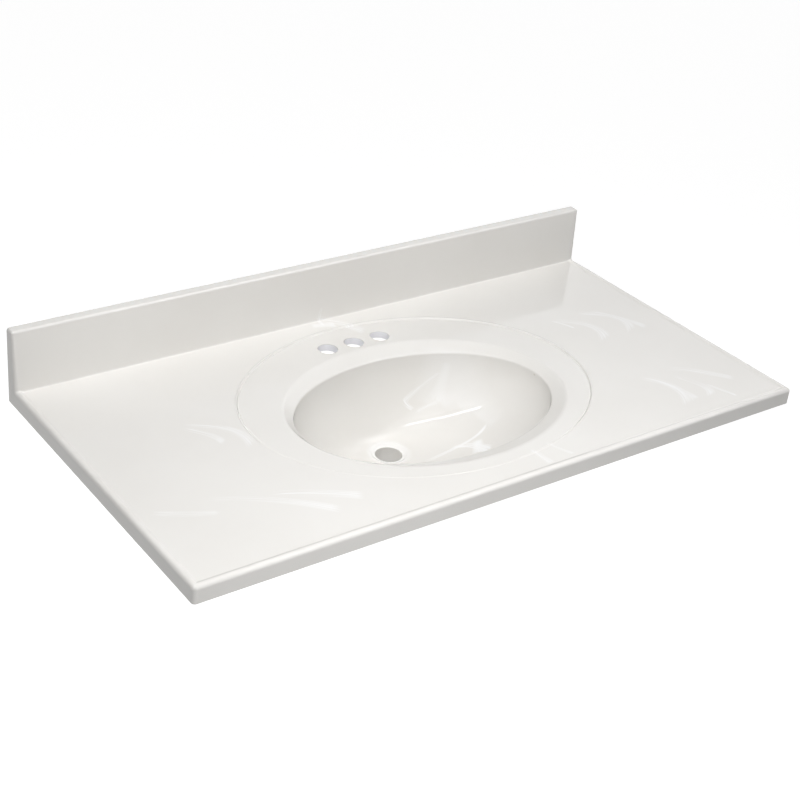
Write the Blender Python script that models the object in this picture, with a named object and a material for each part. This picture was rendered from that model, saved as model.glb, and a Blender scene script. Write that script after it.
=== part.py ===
"""A 43 by 22 inch vanity top with an oval bowl, in the sections that its mould is divided into.

The deck is a thin slab that lies in a rebate: the edge mouldings carry it at the front and
both ends, and a rail carries it at the back. The bowl hangs by its ledge in an oval rebate of
the deck. The backsplash stands on the rail and on the ends of the side mouldings. A sleeve in
the bowl's front wall and a duct behind it take the overflow to the side of the waste boss.

Units are metres, +Z is up. x = 0 is the middle of the top, y = 0 the wall, with the front at
-Y, and z = 0 the top of the cabinet that the part rests on.
"""
import math

import bmesh
import bpy

# Whole top
TOP_WIDTH = 1.0922
TOP_DEPTH = 0.5588
EDGE_HEIGHT = 0.0273
BOND_GAP = 0.0003
CUT_OVERRUN = 0.01
MERGE_DISTANCE = 0.00001
SHARP_EDGE_DEGREES = 35

# Deck slab
SLAB_THICKNESS = 0.0127
LIP_RISE = 0.0023

# Edge mouldings
EDGE_WIDTH = 0.026
EDGE_ROUND = 0.0045
LIP_WIDTH = 0.014
ROUND_STEPS = 4
COVE_STEPS = 4

# Rear rail, and the groove that holds the backsplash's tongue
RAIL_DEPTH = 0.040
TONGUE_WIDTH = 0.008
TONGUE_HEIGHT = 0.005

# Backsplash
SPLASH_HEIGHT = 0.0992
SPLASH_TOP_THICKNESS = 0.0178
SPLASH_FOOT_THICKNESS = 0.0235
SPLASH_COVE = 0.005
SPLASH_ROUND = 0.004
SPLASH_BACK_ROUND = 0.0015

# Oval ledge round the bowl, and the rebate that it lies in
LEDGE_HALF_WIDTH = 0.2940
LEDGE_FROM_FRONT = 0.0479
LEDGE_FROM_WALL = 0.0593
LEDGE_STEP = 0.0018
LEDGE_THICKNESS = 0.0127
LAP_WIDTH = 0.012
LAP_THICKNESS = 0.005

# Bowl, with the flat of the ledge between its rim and the ledge's edge
RIM_SIDE_MARGIN = 0.0730
RIM_FRONT_MARGIN = 0.0559
RIM_BACK_MARGIN = 0.0983
RIM_ROLL = 0.028
RIM_DROP = 0.0159
BOWL_DEPTH = 0.150
BOWL_WALL = 0.012
BOWL_WALL_POWER = 1.7
BOWL_FLOOR_POWER = 1.9
OVAL_SIDES = 72
ROLL_STEPS = 5
WALL_STEPS = 13

# Waste hole, in the dished seat at the bottom of the bowl
WASTE_FROM_RIM = 0.0698
WASTE_DIAMETER = 0.0444
SEAT_DIAMETER = 0.056
DISH_DIAMETER = 0.065
DISH_DEPTH = 0.0038
BOSS_DIAMETER = 0.084
BOSS_HEIGHT = 0.034
BORE_CHAMFER = 0.0012

# Tap holes, three in a row behind the bowl
TAP_HOLE_DIAMETER = 0.03175
TAP_HOLE_SPACING = 0.0508
TAP_HOLE_COUNT = 3
TAP_HOLES_FROM_LEDGE_EDGE = 0.0487
TAP_HOLE_SIDES = 30

# Overflow: an oval sleeve through the front wall, and a flat duct down to the boss
OVERFLOW_DEPTH = 0.060
SLEEVE_WIDTH = 0.034
SLEEVE_HEIGHT = 0.012
SLEEVE_WALL = 0.002
SLEEVE_END_STEPS = 6
SLEEVE_SINK = 0.0005
DUCT_SIDE_CLEARANCE = 0.003
DUCT_DEPTH = 0.014
DUCT_WALL = 0.002
DUCT_HEADROOM = 0.006
DUCT_PLUG = 0.008
DUCT_UNDER_FLOOR = 0.002

# Finishes
MARBLE_WHITE = (0.86, 0.85, 0.83, 1.0)
MARBLE_ROUGHNESS = 0.12
DUCT_GREY = (0.72, 0.72, 0.70, 1.0)
DUCT_ROUGHNESS = 0.45

# Levels and outlines that follow from the sizes above
SLAB_TOP = EDGE_HEIGHT - LIP_RISE
SLAB_BOTTOM = SLAB_TOP - SLAB_THICKNESS
SEAT_TOP = SLAB_BOTTOM - BOND_GAP
HALF_WIDTH = TOP_WIDTH / 2
SPLASH_DECK_THICKNESS = SPLASH_FOOT_THICKNESS + SPLASH_COVE
LEDGE_HALF_DEPTH = (TOP_DEPTH - LEDGE_FROM_FRONT - LEDGE_FROM_WALL) / 2
LEDGE_CENTRE = LEDGE_FROM_WALL + LEDGE_HALF_DEPTH
RIM_HALF_WIDTH = LEDGE_HALF_WIDTH - RIM_SIDE_MARGIN
RIM_HALF_DEPTH = LEDGE_HALF_DEPTH - (RIM_FRONT_MARGIN + RIM_BACK_MARGIN) / 2
RIM_CENTRE = LEDGE_CENTRE + (RIM_BACK_MARGIN - RIM_FRONT_MARGIN) / 2
WASTE_CENTRE = RIM_CENTRE - RIM_HALF_DEPTH + WASTE_FROM_RIM
TAP_HOLES_FROM_WALL = LEDGE_FROM_WALL + TAP_HOLES_FROM_LEDGE_EDGE
LEDGE_TOP = SLAB_TOP - LEDGE_STEP
LEDGE_BOTTOM = LEDGE_TOP - LEDGE_THICKNESS
LAP_BOTTOM = LEDGE_TOP - LAP_THICKNESS
RIM_TOP = LEDGE_TOP - RIM_DROP
WASTE_SEAT = SLAB_TOP - BOWL_DEPTH
BOWL_FLOOR = WASTE_SEAT + DISH_DEPTH
BOSS_BOTTOM = WASTE_SEAT - BOSS_HEIGHT
OVERFLOW_LEVEL = SLAB_TOP - OVERFLOW_DEPTH
DUCT_WIDTH = SLEEVE_WIDTH + 2 * (DUCT_SIDE_CLEARANCE + DUCT_WALL)


def clear_scene():
    for thing in list(bpy.data.objects):
        bpy.data.objects.remove(thing, do_unlink=True)


def finish(name, colour, roughness):
    """A plain material for one sub-part."""
    look = bpy.data.materials.new(name)
    look.use_nodes = True
    shader = look.node_tree.nodes["Principled BSDF"]
    shader.inputs["Base Color"].default_value = colour
    shader.inputs["Roughness"].default_value = roughness
    shader.inputs["Metallic"].default_value = 0.0
    look.diffuse_color = colour
    return look


def marble(name):
    return finish(name + "_marble", MARBLE_WHITE, MARBLE_ROUGHNESS)


def duct_plastic(name):
    return finish(name + "_plastic", DUCT_GREY, DUCT_ROUGHNESS)


def lofted(name, rings, look, capped):
    """A closed solid through rings of equal length: capped at both ends, or joined to a loop."""
    shape = bmesh.new()
    loops = [[shape.verts.new(point) for point in ring] for ring in rings]
    pairs = list(zip(loops[:-1], loops[1:]))
    if not capped:
        pairs.append((loops[-1], loops[0]))
    for near, far in pairs:
        for index in range(len(near)):
            after = (index + 1) % len(near)
            shape.faces.new((near[index], near[after], far[after], far[index]))
    if capped:
        shape.faces.new(loops[0])
        shape.faces.new(loops[-1])
    bmesh.ops.remove_doubles(shape, verts=shape.verts, dist=MERGE_DISTANCE)
    bmesh.ops.recalc_face_normals(shape, faces=shape.faces)
    mesh = bpy.data.meshes.new(name)
    shape.to_mesh(mesh)
    shape.free()
    mesh.materials.append(look)
    mesh.shade_smooth()
    mesh.set_sharp_from_angle(angle=math.radians(SHARP_EDGE_DEGREES))
    solid = bpy.data.objects.new(name, mesh)
    bpy.context.scene.collection.objects.link(solid)
    return solid


def boxed(name, low, high, look):
    """A rectangular block between two corners."""
    outline = [(low[0], low[1]), (high[0], low[1]), (high[0], high[1]), (low[0], high[1])]
    rings = [[(x, y, z) for x, y in outline] for z in (low[2], high[2])]
    return lofted(name, rings, look, capped=True)


def shaped(solid, tool, operation):
    """Cuts a solid with a tool, or joins the tool to it, and hides the tool."""
    step = solid.modifiers.new(tool.name, "BOOLEAN")
    step.operation = operation
    step.solver = "EXACT"
    step.object = tool
    tool.hide_render = True
    tool.display_type = "WIRE"


def oval(centre_from_wall, half_width, half_depth, height, sides=OVAL_SIDES):
    """Points of a level ellipse, its centre on x = 0."""
    turns = [2 * math.pi * side / sides for side in range(sides)]
    return [
        (half_width * math.cos(turn), half_depth * math.sin(turn) - centre_from_wall, height)
        for turn in turns
    ]


def ledge_oval(inset, height):
    """The ledge's outline, drawn in by an inset."""
    return oval(LEDGE_CENTRE, LEDGE_HALF_WIDTH - inset, LEDGE_HALF_DEPTH - inset, height)


def edge_profile():
    """Section of an edge moulding: distance in from the outer face, and height."""
    turns = [math.pi / 2 * step / ROUND_STEPS for step in range(ROUND_STEPS + 1)]
    nose = [
        (EDGE_ROUND * (1 - math.cos(turn)), EDGE_HEIGHT - EDGE_ROUND * (1 - math.sin(turn)))
        for turn in turns
    ]
    cove = []
    for step in range(1, COVE_STEPS + 1):
        share = step / COVE_STEPS
        fall = (1 - math.cos(math.pi * share)) / 2
        cove.append((EDGE_ROUND + (LIP_WIDTH - EDGE_ROUND) * share, EDGE_HEIGHT - LIP_RISE * fall))
    seat = [(LIP_WIDTH, SEAT_TOP), (EDGE_WIDTH, SEAT_TOP), (EDGE_WIDTH, 0.0)]
    return [(0.0, 0.0)] + nose + cove + seat


def corner_rings(profile):
    """The moulding's section at a front corner, from the mitre to the end of the rounded corner.

    Each point is the distance in from the end face, in from the front face, and the height.
    Points nearer the face than the corner's radius turn about its centre, the rest are mitred.
    """
    rings = []
    for step in range(ROUND_STEPS // 2 + 1):
        turn = math.pi / 4 * (1 - step / (ROUND_STEPS // 2))
        ring = []
        for inward, height in profile:
            reach = max(EDGE_ROUND - inward, 0.0)
            centre = max(EDGE_ROUND, inward)
            along_end = centre - reach * math.sin(turn)
            along_front = centre - reach * math.cos(turn)
            ring.append((along_end, along_front, height))
        rings.append(ring)
    return rings


def make_front_edge():
    """Front moulding, mitred at both corners."""
    left = [
        [(end - HALF_WIDTH, front - TOP_DEPTH, height) for end, front, height in ring]
        for ring in corner_rings(edge_profile())
    ]
    right = [[(-x, y, z) for x, y, z in ring] for ring in reversed(left)]
    return lofted("front_edge", left + right, marble("front_edge"), capped=True)


def make_side_edge(name, side):
    """End moulding, from the mitre to the wall; it passes under the backsplash's end."""
    mitre_gap = BOND_GAP * math.sqrt(2)
    rings = [
        [
            (side * (HALF_WIDTH - front), end - TOP_DEPTH + mitre_gap, height)
            for end, front, height in ring
        ]
        for ring in corner_rings(edge_profile())
    ]
    rings.append([(x, 0.0, z) for x, _, z in rings[-1]])
    moulding = lofted(name, rings, marble(name), capped=True)
    outer = side * (HALF_WIDTH + CUT_OVERRUN)
    inner = side * (HALF_WIDTH - EDGE_WIDTH - CUT_OVERRUN)
    notch = boxed(
        name + "_splash_notch",
        (min(outer, inner), -SPLASH_DECK_THICKNESS - BOND_GAP, SEAT_TOP),
        (max(outer, inner), CUT_OVERRUN, EDGE_HEIGHT + CUT_OVERRUN),
        moulding.data.materials[0],
    )
    shaped(moulding, notch, "DIFFERENCE")
    return moulding


def tongue_block(name, height, clearance, look):
    """The backsplash's tongue, or with a clearance the groove for it."""
    half_length = HALF_WIDTH - EDGE_WIDTH - BOND_GAP - TONGUE_WIDTH + clearance
    middle = -SPLASH_FOOT_THICKNESS / 2
    half_width = TONGUE_WIDTH / 2 + clearance
    return boxed(
        name,
        (-half_length, middle - half_width, SEAT_TOP - TONGUE_HEIGHT - clearance),
        (half_length, middle + half_width, height),
        look,
    )


def make_rear_rail():
    """Bearing strip along the wall, grooved for the backsplash."""
    look = marble("rear_rail")
    half_length = HALF_WIDTH - EDGE_WIDTH - BOND_GAP
    rail = boxed("rear_rail", (-half_length, -RAIL_DEPTH, 0.0), (half_length, 0.0, SEAT_TOP), look)
    groove = tongue_block("rear_rail_groove", SEAT_TOP + CUT_OVERRUN, BOND_GAP, look)
    shaped(rail, groove, "DIFFERENCE")
    return rail


def splash_outline(height, thickness, corner, inset, back_inset):
    """Plan of the backsplash at one height, anticlockwise from its back left corner."""
    half = HALF_WIDTH - inset
    front = -thickness + inset
    radius = max(corner - inset, 0.0)
    turns = [math.pi / 2 * step / ROUND_STEPS for step in range(ROUND_STEPS + 1)]
    left = [
        (radius - half - radius * math.cos(turn), front + radius - radius * math.sin(turn), height)
        for turn in turns
    ]
    right = [(-x, y, z) for x, y, z in reversed(left)]
    back = -back_inset
    return [(-half, back, height)] + left + right + [(half, back, height)]


def make_backsplash():
    """Upstand with a tapered face, a cove at its foot and rounded front, end and top edges."""
    base = SEAT_TOP + BOND_GAP
    top = SLAB_TOP + SPLASH_HEIGHT
    cove_top = SLAB_TOP + SPLASH_COVE
    taper = SPLASH_FOOT_THICKNESS - SPLASH_TOP_THICKNESS
    rings = [
        splash_outline(base, SPLASH_DECK_THICKNESS, 0.0, 0.0, 0.0),
        splash_outline(SLAB_TOP, SPLASH_DECK_THICKNESS, 0.0, 0.0, 0.0),
    ]
    for step in range(1, COVE_STEPS + 1):
        turn = math.pi / 2 * step / COVE_STEPS
        thickness = SPLASH_DECK_THICKNESS - SPLASH_COVE * math.sin(turn)
        corner = SPLASH_ROUND * step / COVE_STEPS
        height = cove_top - SPLASH_COVE * math.cos(turn)
        rings.append(splash_outline(height, thickness, corner, 0.0, 0.0))
    for step in range(ROUND_STEPS + 1):
        turn = math.pi / 2 * step / ROUND_STEPS
        height = top - SPLASH_ROUND * (1 - math.sin(turn))
        share = (height - cove_top) / (top - cove_top)
        inset = SPLASH_ROUND * (1 - math.cos(turn))
        back_inset = SPLASH_BACK_ROUND * (1 - math.cos(turn))
        rings.append(
            splash_outline(
                height, SPLASH_FOOT_THICKNESS - taper * share, SPLASH_ROUND, inset, back_inset
            )
        )
    look = marble("backsplash")
    splash = lofted("backsplash", rings, look, capped=True)
    tongue = tongue_block("backsplash_tongue", base + TONGUE_HEIGHT, 0.0, look)
    shaped(splash, tongue, "UNION")
    return splash


def make_deck():
    """Slab with an oval opening, rebated at the top for the ledge of the bowl."""
    look = marble("deck")
    half = HALF_WIDTH - LIP_WIDTH - BOND_GAP
    front = -TOP_DEPTH + LIP_WIDTH + BOND_GAP
    back = -SPLASH_DECK_THICKNESS - BOND_GAP
    deck = boxed("deck", (-half, front, SLAB_BOTTOM), (half, back, SLAB_TOP), look)
    shoulder = LAP_BOTTOM - BOND_GAP
    above = SLAB_TOP + CUT_OVERRUN
    below = SLAB_BOTTOM - CUT_OVERRUN
    opening = lofted(
        "deck_opening",
        [
            ledge_oval(LAP_WIDTH, below),
            ledge_oval(LAP_WIDTH, shoulder),
            ledge_oval(-BOND_GAP, shoulder),
            ledge_oval(-BOND_GAP, above),
        ],
        look,
        capped=True,
    )
    shaped(deck, opening, "DIFFERENCE")
    return deck


def wall_share(height):
    """How far the bowl's inner wall stands from the waste hole at a height: 1 is the rim."""
    fall = (RIM_TOP - height) / (RIM_TOP - BOWL_FLOOR)
    return (1 - fall ** BOWL_FLOOR_POWER) ** (1 / BOWL_WALL_POWER)


def bowl_station(share):
    """Centre from the wall, half width and half depth of the bowl at a share from waste to rim."""
    dish = DISH_DIAMETER / 2
    return (
        WASTE_CENTRE + (RIM_CENTRE - WASTE_CENTRE) * share,
        dish + (RIM_HALF_WIDTH - dish) * share,
        dish + (RIM_HALF_DEPTH - dish) * share,
    )


def wall_stations():
    """Share and height at even turns round the bowl's section, from the rim to the floor."""
    stations = []
    for step in range(WALL_STEPS + 1):
        turn = math.pi / 2 * step / WALL_STEPS
        share = math.cos(turn) ** (2 / BOWL_WALL_POWER) if step < WALL_STEPS else 0.0
        height = RIM_TOP - (RIM_TOP - BOWL_FLOOR) * math.sin(turn) ** (2 / BOWL_FLOOR_POWER)
        stations.append((share, height))
    return stations


def outer_stations():
    """The wall's outer side: centre, half width, half depth and height, from the top down.

    Each inner station is moved square to the wall, as far as the edge of the waste boss.
    """
    stations = wall_stations()
    outer = []
    for index in range(1, len(stations) - 1):
        before, after = stations[index - 1], stations[index + 1]
        run = bowl_station(before[0])[1] - bowl_station(after[0])[1]
        drop = before[1] - after[1]
        length = math.hypot(run, drop)
        share, height = stations[index]
        centre, half_width, half_depth = bowl_station(share)
        out = BOWL_WALL * drop / length
        down = BOWL_WALL * run / length
        clear_of_boss = half_depth + out - (centre - WASTE_CENTRE) > BOSS_DIAMETER / 2
        if clear_of_boss:
            outer.append((centre, half_width + out, half_depth + out, height - down))
    return outer


def bowl_inside():
    """Rings of the bowl's show face, from the outer edge of the ledge down to the waste hole."""
    rings = [ledge_oval(0.0, LEDGE_TOP)]
    for step in range(ROLL_STEPS):
        turn = math.pi / 2 * step / ROLL_STEPS
        spread = RIM_ROLL * (1 - math.sin(turn))
        height = LEDGE_TOP - RIM_DROP * (1 - math.cos(turn))
        rings.append(oval(RIM_CENTRE, RIM_HALF_WIDTH + spread, RIM_HALF_DEPTH + spread, height))
    for share, height in wall_stations():
        rings.append(oval(*bowl_station(share), height))
    bore = WASTE_DIAMETER / 2
    seat = SEAT_DIAMETER / 2
    rings.append(oval(WASTE_CENTRE, seat, seat, WASTE_SEAT))
    rings.append(oval(WASTE_CENTRE, bore + BORE_CHAMFER, bore + BORE_CHAMFER, WASTE_SEAT))
    rings.append(oval(WASTE_CENTRE, bore, bore, WASTE_SEAT - BORE_CHAMFER))
    return rings


def bowl_outside():
    """Rings of the bowl's hidden face, from the bottom of the waste hole up to the ledge."""
    bore = WASTE_DIAMETER / 2
    boss = BOSS_DIAMETER / 2
    rings = [
        oval(WASTE_CENTRE, bore, bore, BOSS_BOTTOM),
        oval(WASTE_CENTRE, boss, boss, BOSS_BOTTOM),
        oval(WASTE_CENTRE, boss, boss, WASTE_SEAT - BOWL_WALL),
    ]
    for centre, half_width, half_depth, height in reversed(outer_stations()):
        rings.append(oval(centre, half_width, half_depth, height))
    rings.append(
        oval(RIM_CENTRE, RIM_HALF_WIDTH + BOWL_WALL, RIM_HALF_DEPTH + BOWL_WALL, LEDGE_BOTTOM)
    )
    rings.append(ledge_oval(LAP_WIDTH + BOND_GAP, LEDGE_BOTTOM))
    rings.append(ledge_oval(LAP_WIDTH + BOND_GAP, LAP_BOTTOM))
    rings.append(ledge_oval(0.0, LAP_BOTTOM))
    return rings


def duct_line():
    """Middle of the duct's side that faces the bowl, as (y, z), from its top to its outlet."""
    points = []
    top_limit = OVERFLOW_LEVEL + SLEEVE_HEIGHT / 2 + DUCT_HEADROOM
    outer = [(-centre - half_depth, height) for centre, _, half_depth, height in outer_stations()]
    for (y, z), (next_y, next_z) in zip(outer[:-1], outer[1:]):
        if z > top_limit >= next_z:
            share = (z - top_limit) / (z - next_z)
            points.append((y + (next_y - y) * share, top_limit))
        if next_z < top_limit:
            points.append((next_y, next_z))
    boss_front = -WASTE_CENTRE - BOSS_DIAMETER / 2
    level = WASTE_SEAT - BOWL_WALL - DUCT_UNDER_FLOOR
    points.append((boss_front - DUCT_DEPTH, level))
    points.append((boss_front + DUCT_PLUG, level))
    return points


def line_normals(points):
    """Unit directions away from the bowl at each point of the duct's line."""
    normals = []
    for index in range(len(points)):
        before = points[max(index - 1, 0)]
        after = points[min(index + 1, len(points) - 1)]
        run = after[0] - before[0]
        rise = after[1] - before[1]
        length = math.hypot(run, rise)
        normals.append((rise / length, -run / length))
    normals[-1] = (0.0, -1.0)
    normals[-2] = (0.0, -1.0)
    return normals


def duct_ring(point, normal, near, far, half_width):
    """A flat rectangle across the duct, between two distances from its line."""
    corners = [(-half_width, near), (half_width, near), (half_width, far), (-half_width, far)]
    return [(x, point[0] + normal[0] * d, point[1] + normal[1] * d) for x, d in corners]


def make_overflow_duct():
    """Flat moulded duct down the outside of the bowl, closed at the top, plugged in the boss."""
    look = duct_plastic("overflow_duct")
    line = duct_line()
    normals = line_normals(line)
    half = DUCT_WIDTH / 2
    outside = [
        duct_ring(point, normal, BOND_GAP, BOND_GAP + DUCT_DEPTH, half)
        for point, normal in zip(line, normals)
    ]
    near = BOND_GAP + DUCT_WALL
    far = BOND_GAP + DUCT_DEPTH - DUCT_WALL
    inside = [
        duct_ring(point, normal, near, far, half - DUCT_WALL)
        for point, normal in zip(line, normals)
    ]
    run = (line[1][0] - line[0][0], line[1][1] - line[0][1])
    length = math.hypot(*run)
    shift = (run[0] * DUCT_WALL / length, run[1] * DUCT_WALL / length)
    inside[0] = [(x, y + shift[0], z + shift[1]) for x, y, z in inside[0]]
    duct = lofted("overflow_duct", outside + inside[::-1], look, capped=True)
    shaped(duct, sleeve_cutter("overflow_duct_window", look), "DIFFERENCE")
    return duct


def stadium(half_width, half_height, y_at, level):
    """An upright slot outline with round ends; y_at gives each point's y from its height."""
    points = []
    for side in (1, -1):
        for step in range(SLEEVE_END_STEPS + 1):
            turn = side * (math.pi / 2 - math.pi * step / SLEEVE_END_STEPS)
            x = side * (half_width - half_height) + side * half_height * math.cos(turn)
            z = level + half_height * math.sin(turn)
            points.append((x, y_at(z), z))
    return points


def front_wall_slope():
    """The bowl's inner front wall near the overflow, as y at the sleeve's bottom and top."""
    half = SLEEVE_HEIGHT / 2
    found = []
    for height in (OVERFLOW_LEVEL - half, OVERFLOW_LEVEL + half):
        centre, _, half_depth = bowl_station(wall_share(height))
        found.append(-centre - half_depth)
    return found


def sleeve_cutter(name, look):
    """A slot of the sleeve's outer size and a bond line, from inside the bowl into the duct."""
    half_width = SLEEVE_WIDTH / 2 + BOND_GAP
    half_height = SLEEVE_HEIGHT / 2 + BOND_GAP
    ends = (sleeve_outer_end(), max(front_wall_slope()) + CUT_OVERRUN)
    rings = [stadium(half_width, half_height, lambda z, y=y: y, OVERFLOW_LEVEL) for y in ends]
    return lofted(name, rings, look, capped=True)


def sleeve_outer_end():
    """Where the sleeve ends inside the duct: in the middle of its hollow."""
    line = duct_line()
    normals = line_normals(line)
    middle = BOND_GAP + DUCT_DEPTH / 2
    for (start, end), normal in zip(zip(line[:-1], line[1:]), normals):
        if start[1] >= OVERFLOW_LEVEL >= end[1]:
            share = (start[1] - OVERFLOW_LEVEL) / (start[1] - end[1])
            y = start[0] + (end[0] - start[0]) * share
            return y + middle / normal[0]
    return line[0][0] - middle


def make_overflow_inlet():
    """Oval sleeve through the bowl's front wall, its inner end cut to the slope of the wall."""
    look = duct_plastic("overflow_inlet")
    low_y, high_y = front_wall_slope()
    slope = (high_y - low_y) / SLEEVE_HEIGHT
    half_width = SLEEVE_WIDTH / 2
    half_height = SLEEVE_HEIGHT / 2
    outer_end = sleeve_outer_end()

    def at_wall(height):
        return low_y - SLEEVE_SINK + slope * (height - OVERFLOW_LEVEL + half_height)

    def at_duct(height):
        return outer_end

    small_width = half_width - SLEEVE_WALL
    small_height = half_height - SLEEVE_WALL
    rings = [
        stadium(half_width, half_height, at_wall, OVERFLOW_LEVEL),
        stadium(half_width, half_height, at_duct, OVERFLOW_LEVEL),
        stadium(small_width, small_height, at_duct, OVERFLOW_LEVEL),
        stadium(small_width, small_height, at_wall, OVERFLOW_LEVEL),
    ]
    return lofted("overflow_inlet", rings, look, capped=False)


def waste_port(name, look):
    """Socket for the duct in the front of the boss, and the narrower way on into the bore."""
    boss_front = -WASTE_CENTRE - BOSS_DIAMETER / 2
    socket_end = boss_front + DUCT_PLUG + BOND_GAP
    top = WASTE_SEAT - BOWL_WALL - DUCT_UNDER_FLOOR
    half = DUCT_WIDTH / 2

    def section(y, clearance):
        low = top - DUCT_DEPTH - BOND_GAP - clearance
        high = top - BOND_GAP + clearance
        side = half + clearance
        return [(-side, y, low), (side, y, low), (side, y, high), (-side, y, high)]

    rings = [
        section(boss_front - DUCT_DEPTH, BOND_GAP),
        section(socket_end, BOND_GAP),
        section(socket_end, -DUCT_WALL),
        section(-WASTE_CENTRE, -DUCT_WALL),
    ]
    return lofted(name, rings, look, capped=True)


def make_bowl():
    """Oval bowl hung by its ledge, with tap holes, overflow slot, waste hole and boss."""
    look = marble("bowl")
    bowl = lofted("bowl", bowl_inside() + bowl_outside(), look, capped=False)
    radius = TAP_HOLE_DIAMETER / 2
    for index in range(TAP_HOLE_COUNT):
        across = (index - (TAP_HOLE_COUNT - 1) / 2) * TAP_HOLE_SPACING
        rings = []
        for height in (LEDGE_BOTTOM - CUT_OVERRUN, LEDGE_TOP + CUT_OVERRUN):
            circle = oval(TAP_HOLES_FROM_WALL, radius, radius, height, TAP_HOLE_SIDES)
            rings.append([(x + across, y, z) for x, y, z in circle])
        hole = lofted(f"bowl_tap_hole_{index + 1}", rings, look, capped=True)
        shaped(bowl, hole, "DIFFERENCE")
    shaped(bowl, sleeve_cutter("bowl_overflow_slot", look), "DIFFERENCE")
    shaped(bowl, waste_port("bowl_waste_port", look), "DIFFERENCE")
    return bowl


def main():
    clear_scene()
    make_rear_rail()
    make_front_edge()
    make_side_edge("left_edge", -1)
    make_side_edge("right_edge", 1)
    make_deck()
    make_backsplash()
    make_bowl()
    make_overflow_inlet()
    make_overflow_duct()


main()
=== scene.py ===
# %% [markdown]
# # A cast vanity top with an oval bowl
#
# The object is one casting of stone dust and resin, with a clear glossy gel coat on its show
# face. The CAD model gives its nine sections at their real size. This script gives each of them
# its finished surface: the soft roundings, the fine step round the bowl, and the white brush
# marks in the white marble. Everything is in metres, z = 0 is the top of the cabinet, y = 0 is
# the wall and the front edge lies at -y.

# %% Load the fixed frame
import math

import bmesh
import bpy
from mathutils import Matrix, Vector


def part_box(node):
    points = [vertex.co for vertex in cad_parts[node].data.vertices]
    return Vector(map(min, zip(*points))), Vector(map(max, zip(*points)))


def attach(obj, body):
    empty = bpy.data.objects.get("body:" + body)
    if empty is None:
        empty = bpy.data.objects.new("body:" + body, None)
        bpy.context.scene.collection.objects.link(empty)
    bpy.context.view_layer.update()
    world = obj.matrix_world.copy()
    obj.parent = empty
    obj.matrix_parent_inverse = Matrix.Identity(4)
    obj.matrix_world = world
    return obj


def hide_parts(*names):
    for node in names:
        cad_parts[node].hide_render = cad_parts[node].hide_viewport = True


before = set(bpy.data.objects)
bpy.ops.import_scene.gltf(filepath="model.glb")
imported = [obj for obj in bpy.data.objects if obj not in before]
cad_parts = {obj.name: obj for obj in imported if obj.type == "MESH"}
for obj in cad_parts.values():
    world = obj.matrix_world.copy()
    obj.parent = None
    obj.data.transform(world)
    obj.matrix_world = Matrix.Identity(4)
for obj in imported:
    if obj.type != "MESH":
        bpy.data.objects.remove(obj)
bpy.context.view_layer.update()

print("nodes:", sorted(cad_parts))

# %% [markdown]
# ## Sizes
#
# What the frame knows is read from it, so a finished piece can't drift away from the node that
# it stands for. The sizes inside a section, which no box of the frame gives, are written here.
# Most are the CAD model's. A few have the value that the photograph asks for instead: the front
# edge's round, the cove's, the way from the ledge over the rim, and the step round the ledge.

# %% Sizes read from the frame
deck_low, deck_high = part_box("deck")
edge_low, edge_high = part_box("front_edge")
bowl_low, bowl_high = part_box("bowl")
splash_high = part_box("backsplash")[1]

HALF_WIDTH = splash_high.x
TOP_DEPTH = -edge_low.y
EDGE_TOP = edge_high.z
SLAB_TOP = deck_high.z
SLAB_BOTTOM = deck_low.z
SPLASH_TOP = splash_high.z
LEDGE_HALF_WIDTH = bowl_high.x
LEDGE_HALF_DEPTH = (bowl_high.y - bowl_low.y) / 2
LEDGE_Y = (bowl_high.y + bowl_low.y) / 2
LEDGE_TOP = bowl_high.z
BOSS_BOTTOM = bowl_low.z
print(f"top {2 * HALF_WIDTH:.4f} x {TOP_DEPTH:.4f} m, slab top at {SLAB_TOP:.4f} m")

# %% Sizes of the sections
BOND_GAP = 0.0003
EDGE_WIDTH = 0.026
EDGE_ROUND = 0.0060
EDGE_ARRIS = 0.001
LIP_WIDTH = 0.014
SEAT_TOP = SLAB_BOTTOM - BOND_GAP

SPLASH_TOP_THICKNESS = 0.0178
SPLASH_FOOT_THICKNESS = 0.0235
# Where the deck meets the backsplash, as in the CAD model; the photograph's cove is tighter.
SPLASH_COVE = 0.005
COVE_ROUND = 0.0025
SPLASH_ROUND = 0.004
SPLASH_BACK_ROUND = 0.0015
SPLASH_LINE_Y = -SPLASH_FOOT_THICKNESS - SPLASH_COVE

LEDGE_THICKNESS = 0.0127
LAP_WIDTH = 0.012
LAP_THICKNESS = 0.005

RIM_SIDE_MARGIN = 0.0730
RIM_FRONT_MARGIN = 0.0559
RIM_BACK_MARGIN = 0.0983
RIM_ROLL = 0.028
RIM_DROP = 0.0159
RIM_TILT = math.radians(28)
RIM_START_ROUND = 0.015
RIM_FRONT_REACH = 0.008
RIM_SIDE_SHARE = 0.62
RIM_EDGE_ROUND = 0.0045
RIM_HALF_WIDTH = LEDGE_HALF_WIDTH - RIM_SIDE_MARGIN
RIM_HALF_DEPTH = LEDGE_HALF_DEPTH - (RIM_FRONT_MARGIN + RIM_BACK_MARGIN) / 2
RIM_Y = LEDGE_Y - (RIM_BACK_MARGIN - RIM_FRONT_MARGIN) / 2
RIM_TOP = LEDGE_TOP - RIM_DROP

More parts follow.
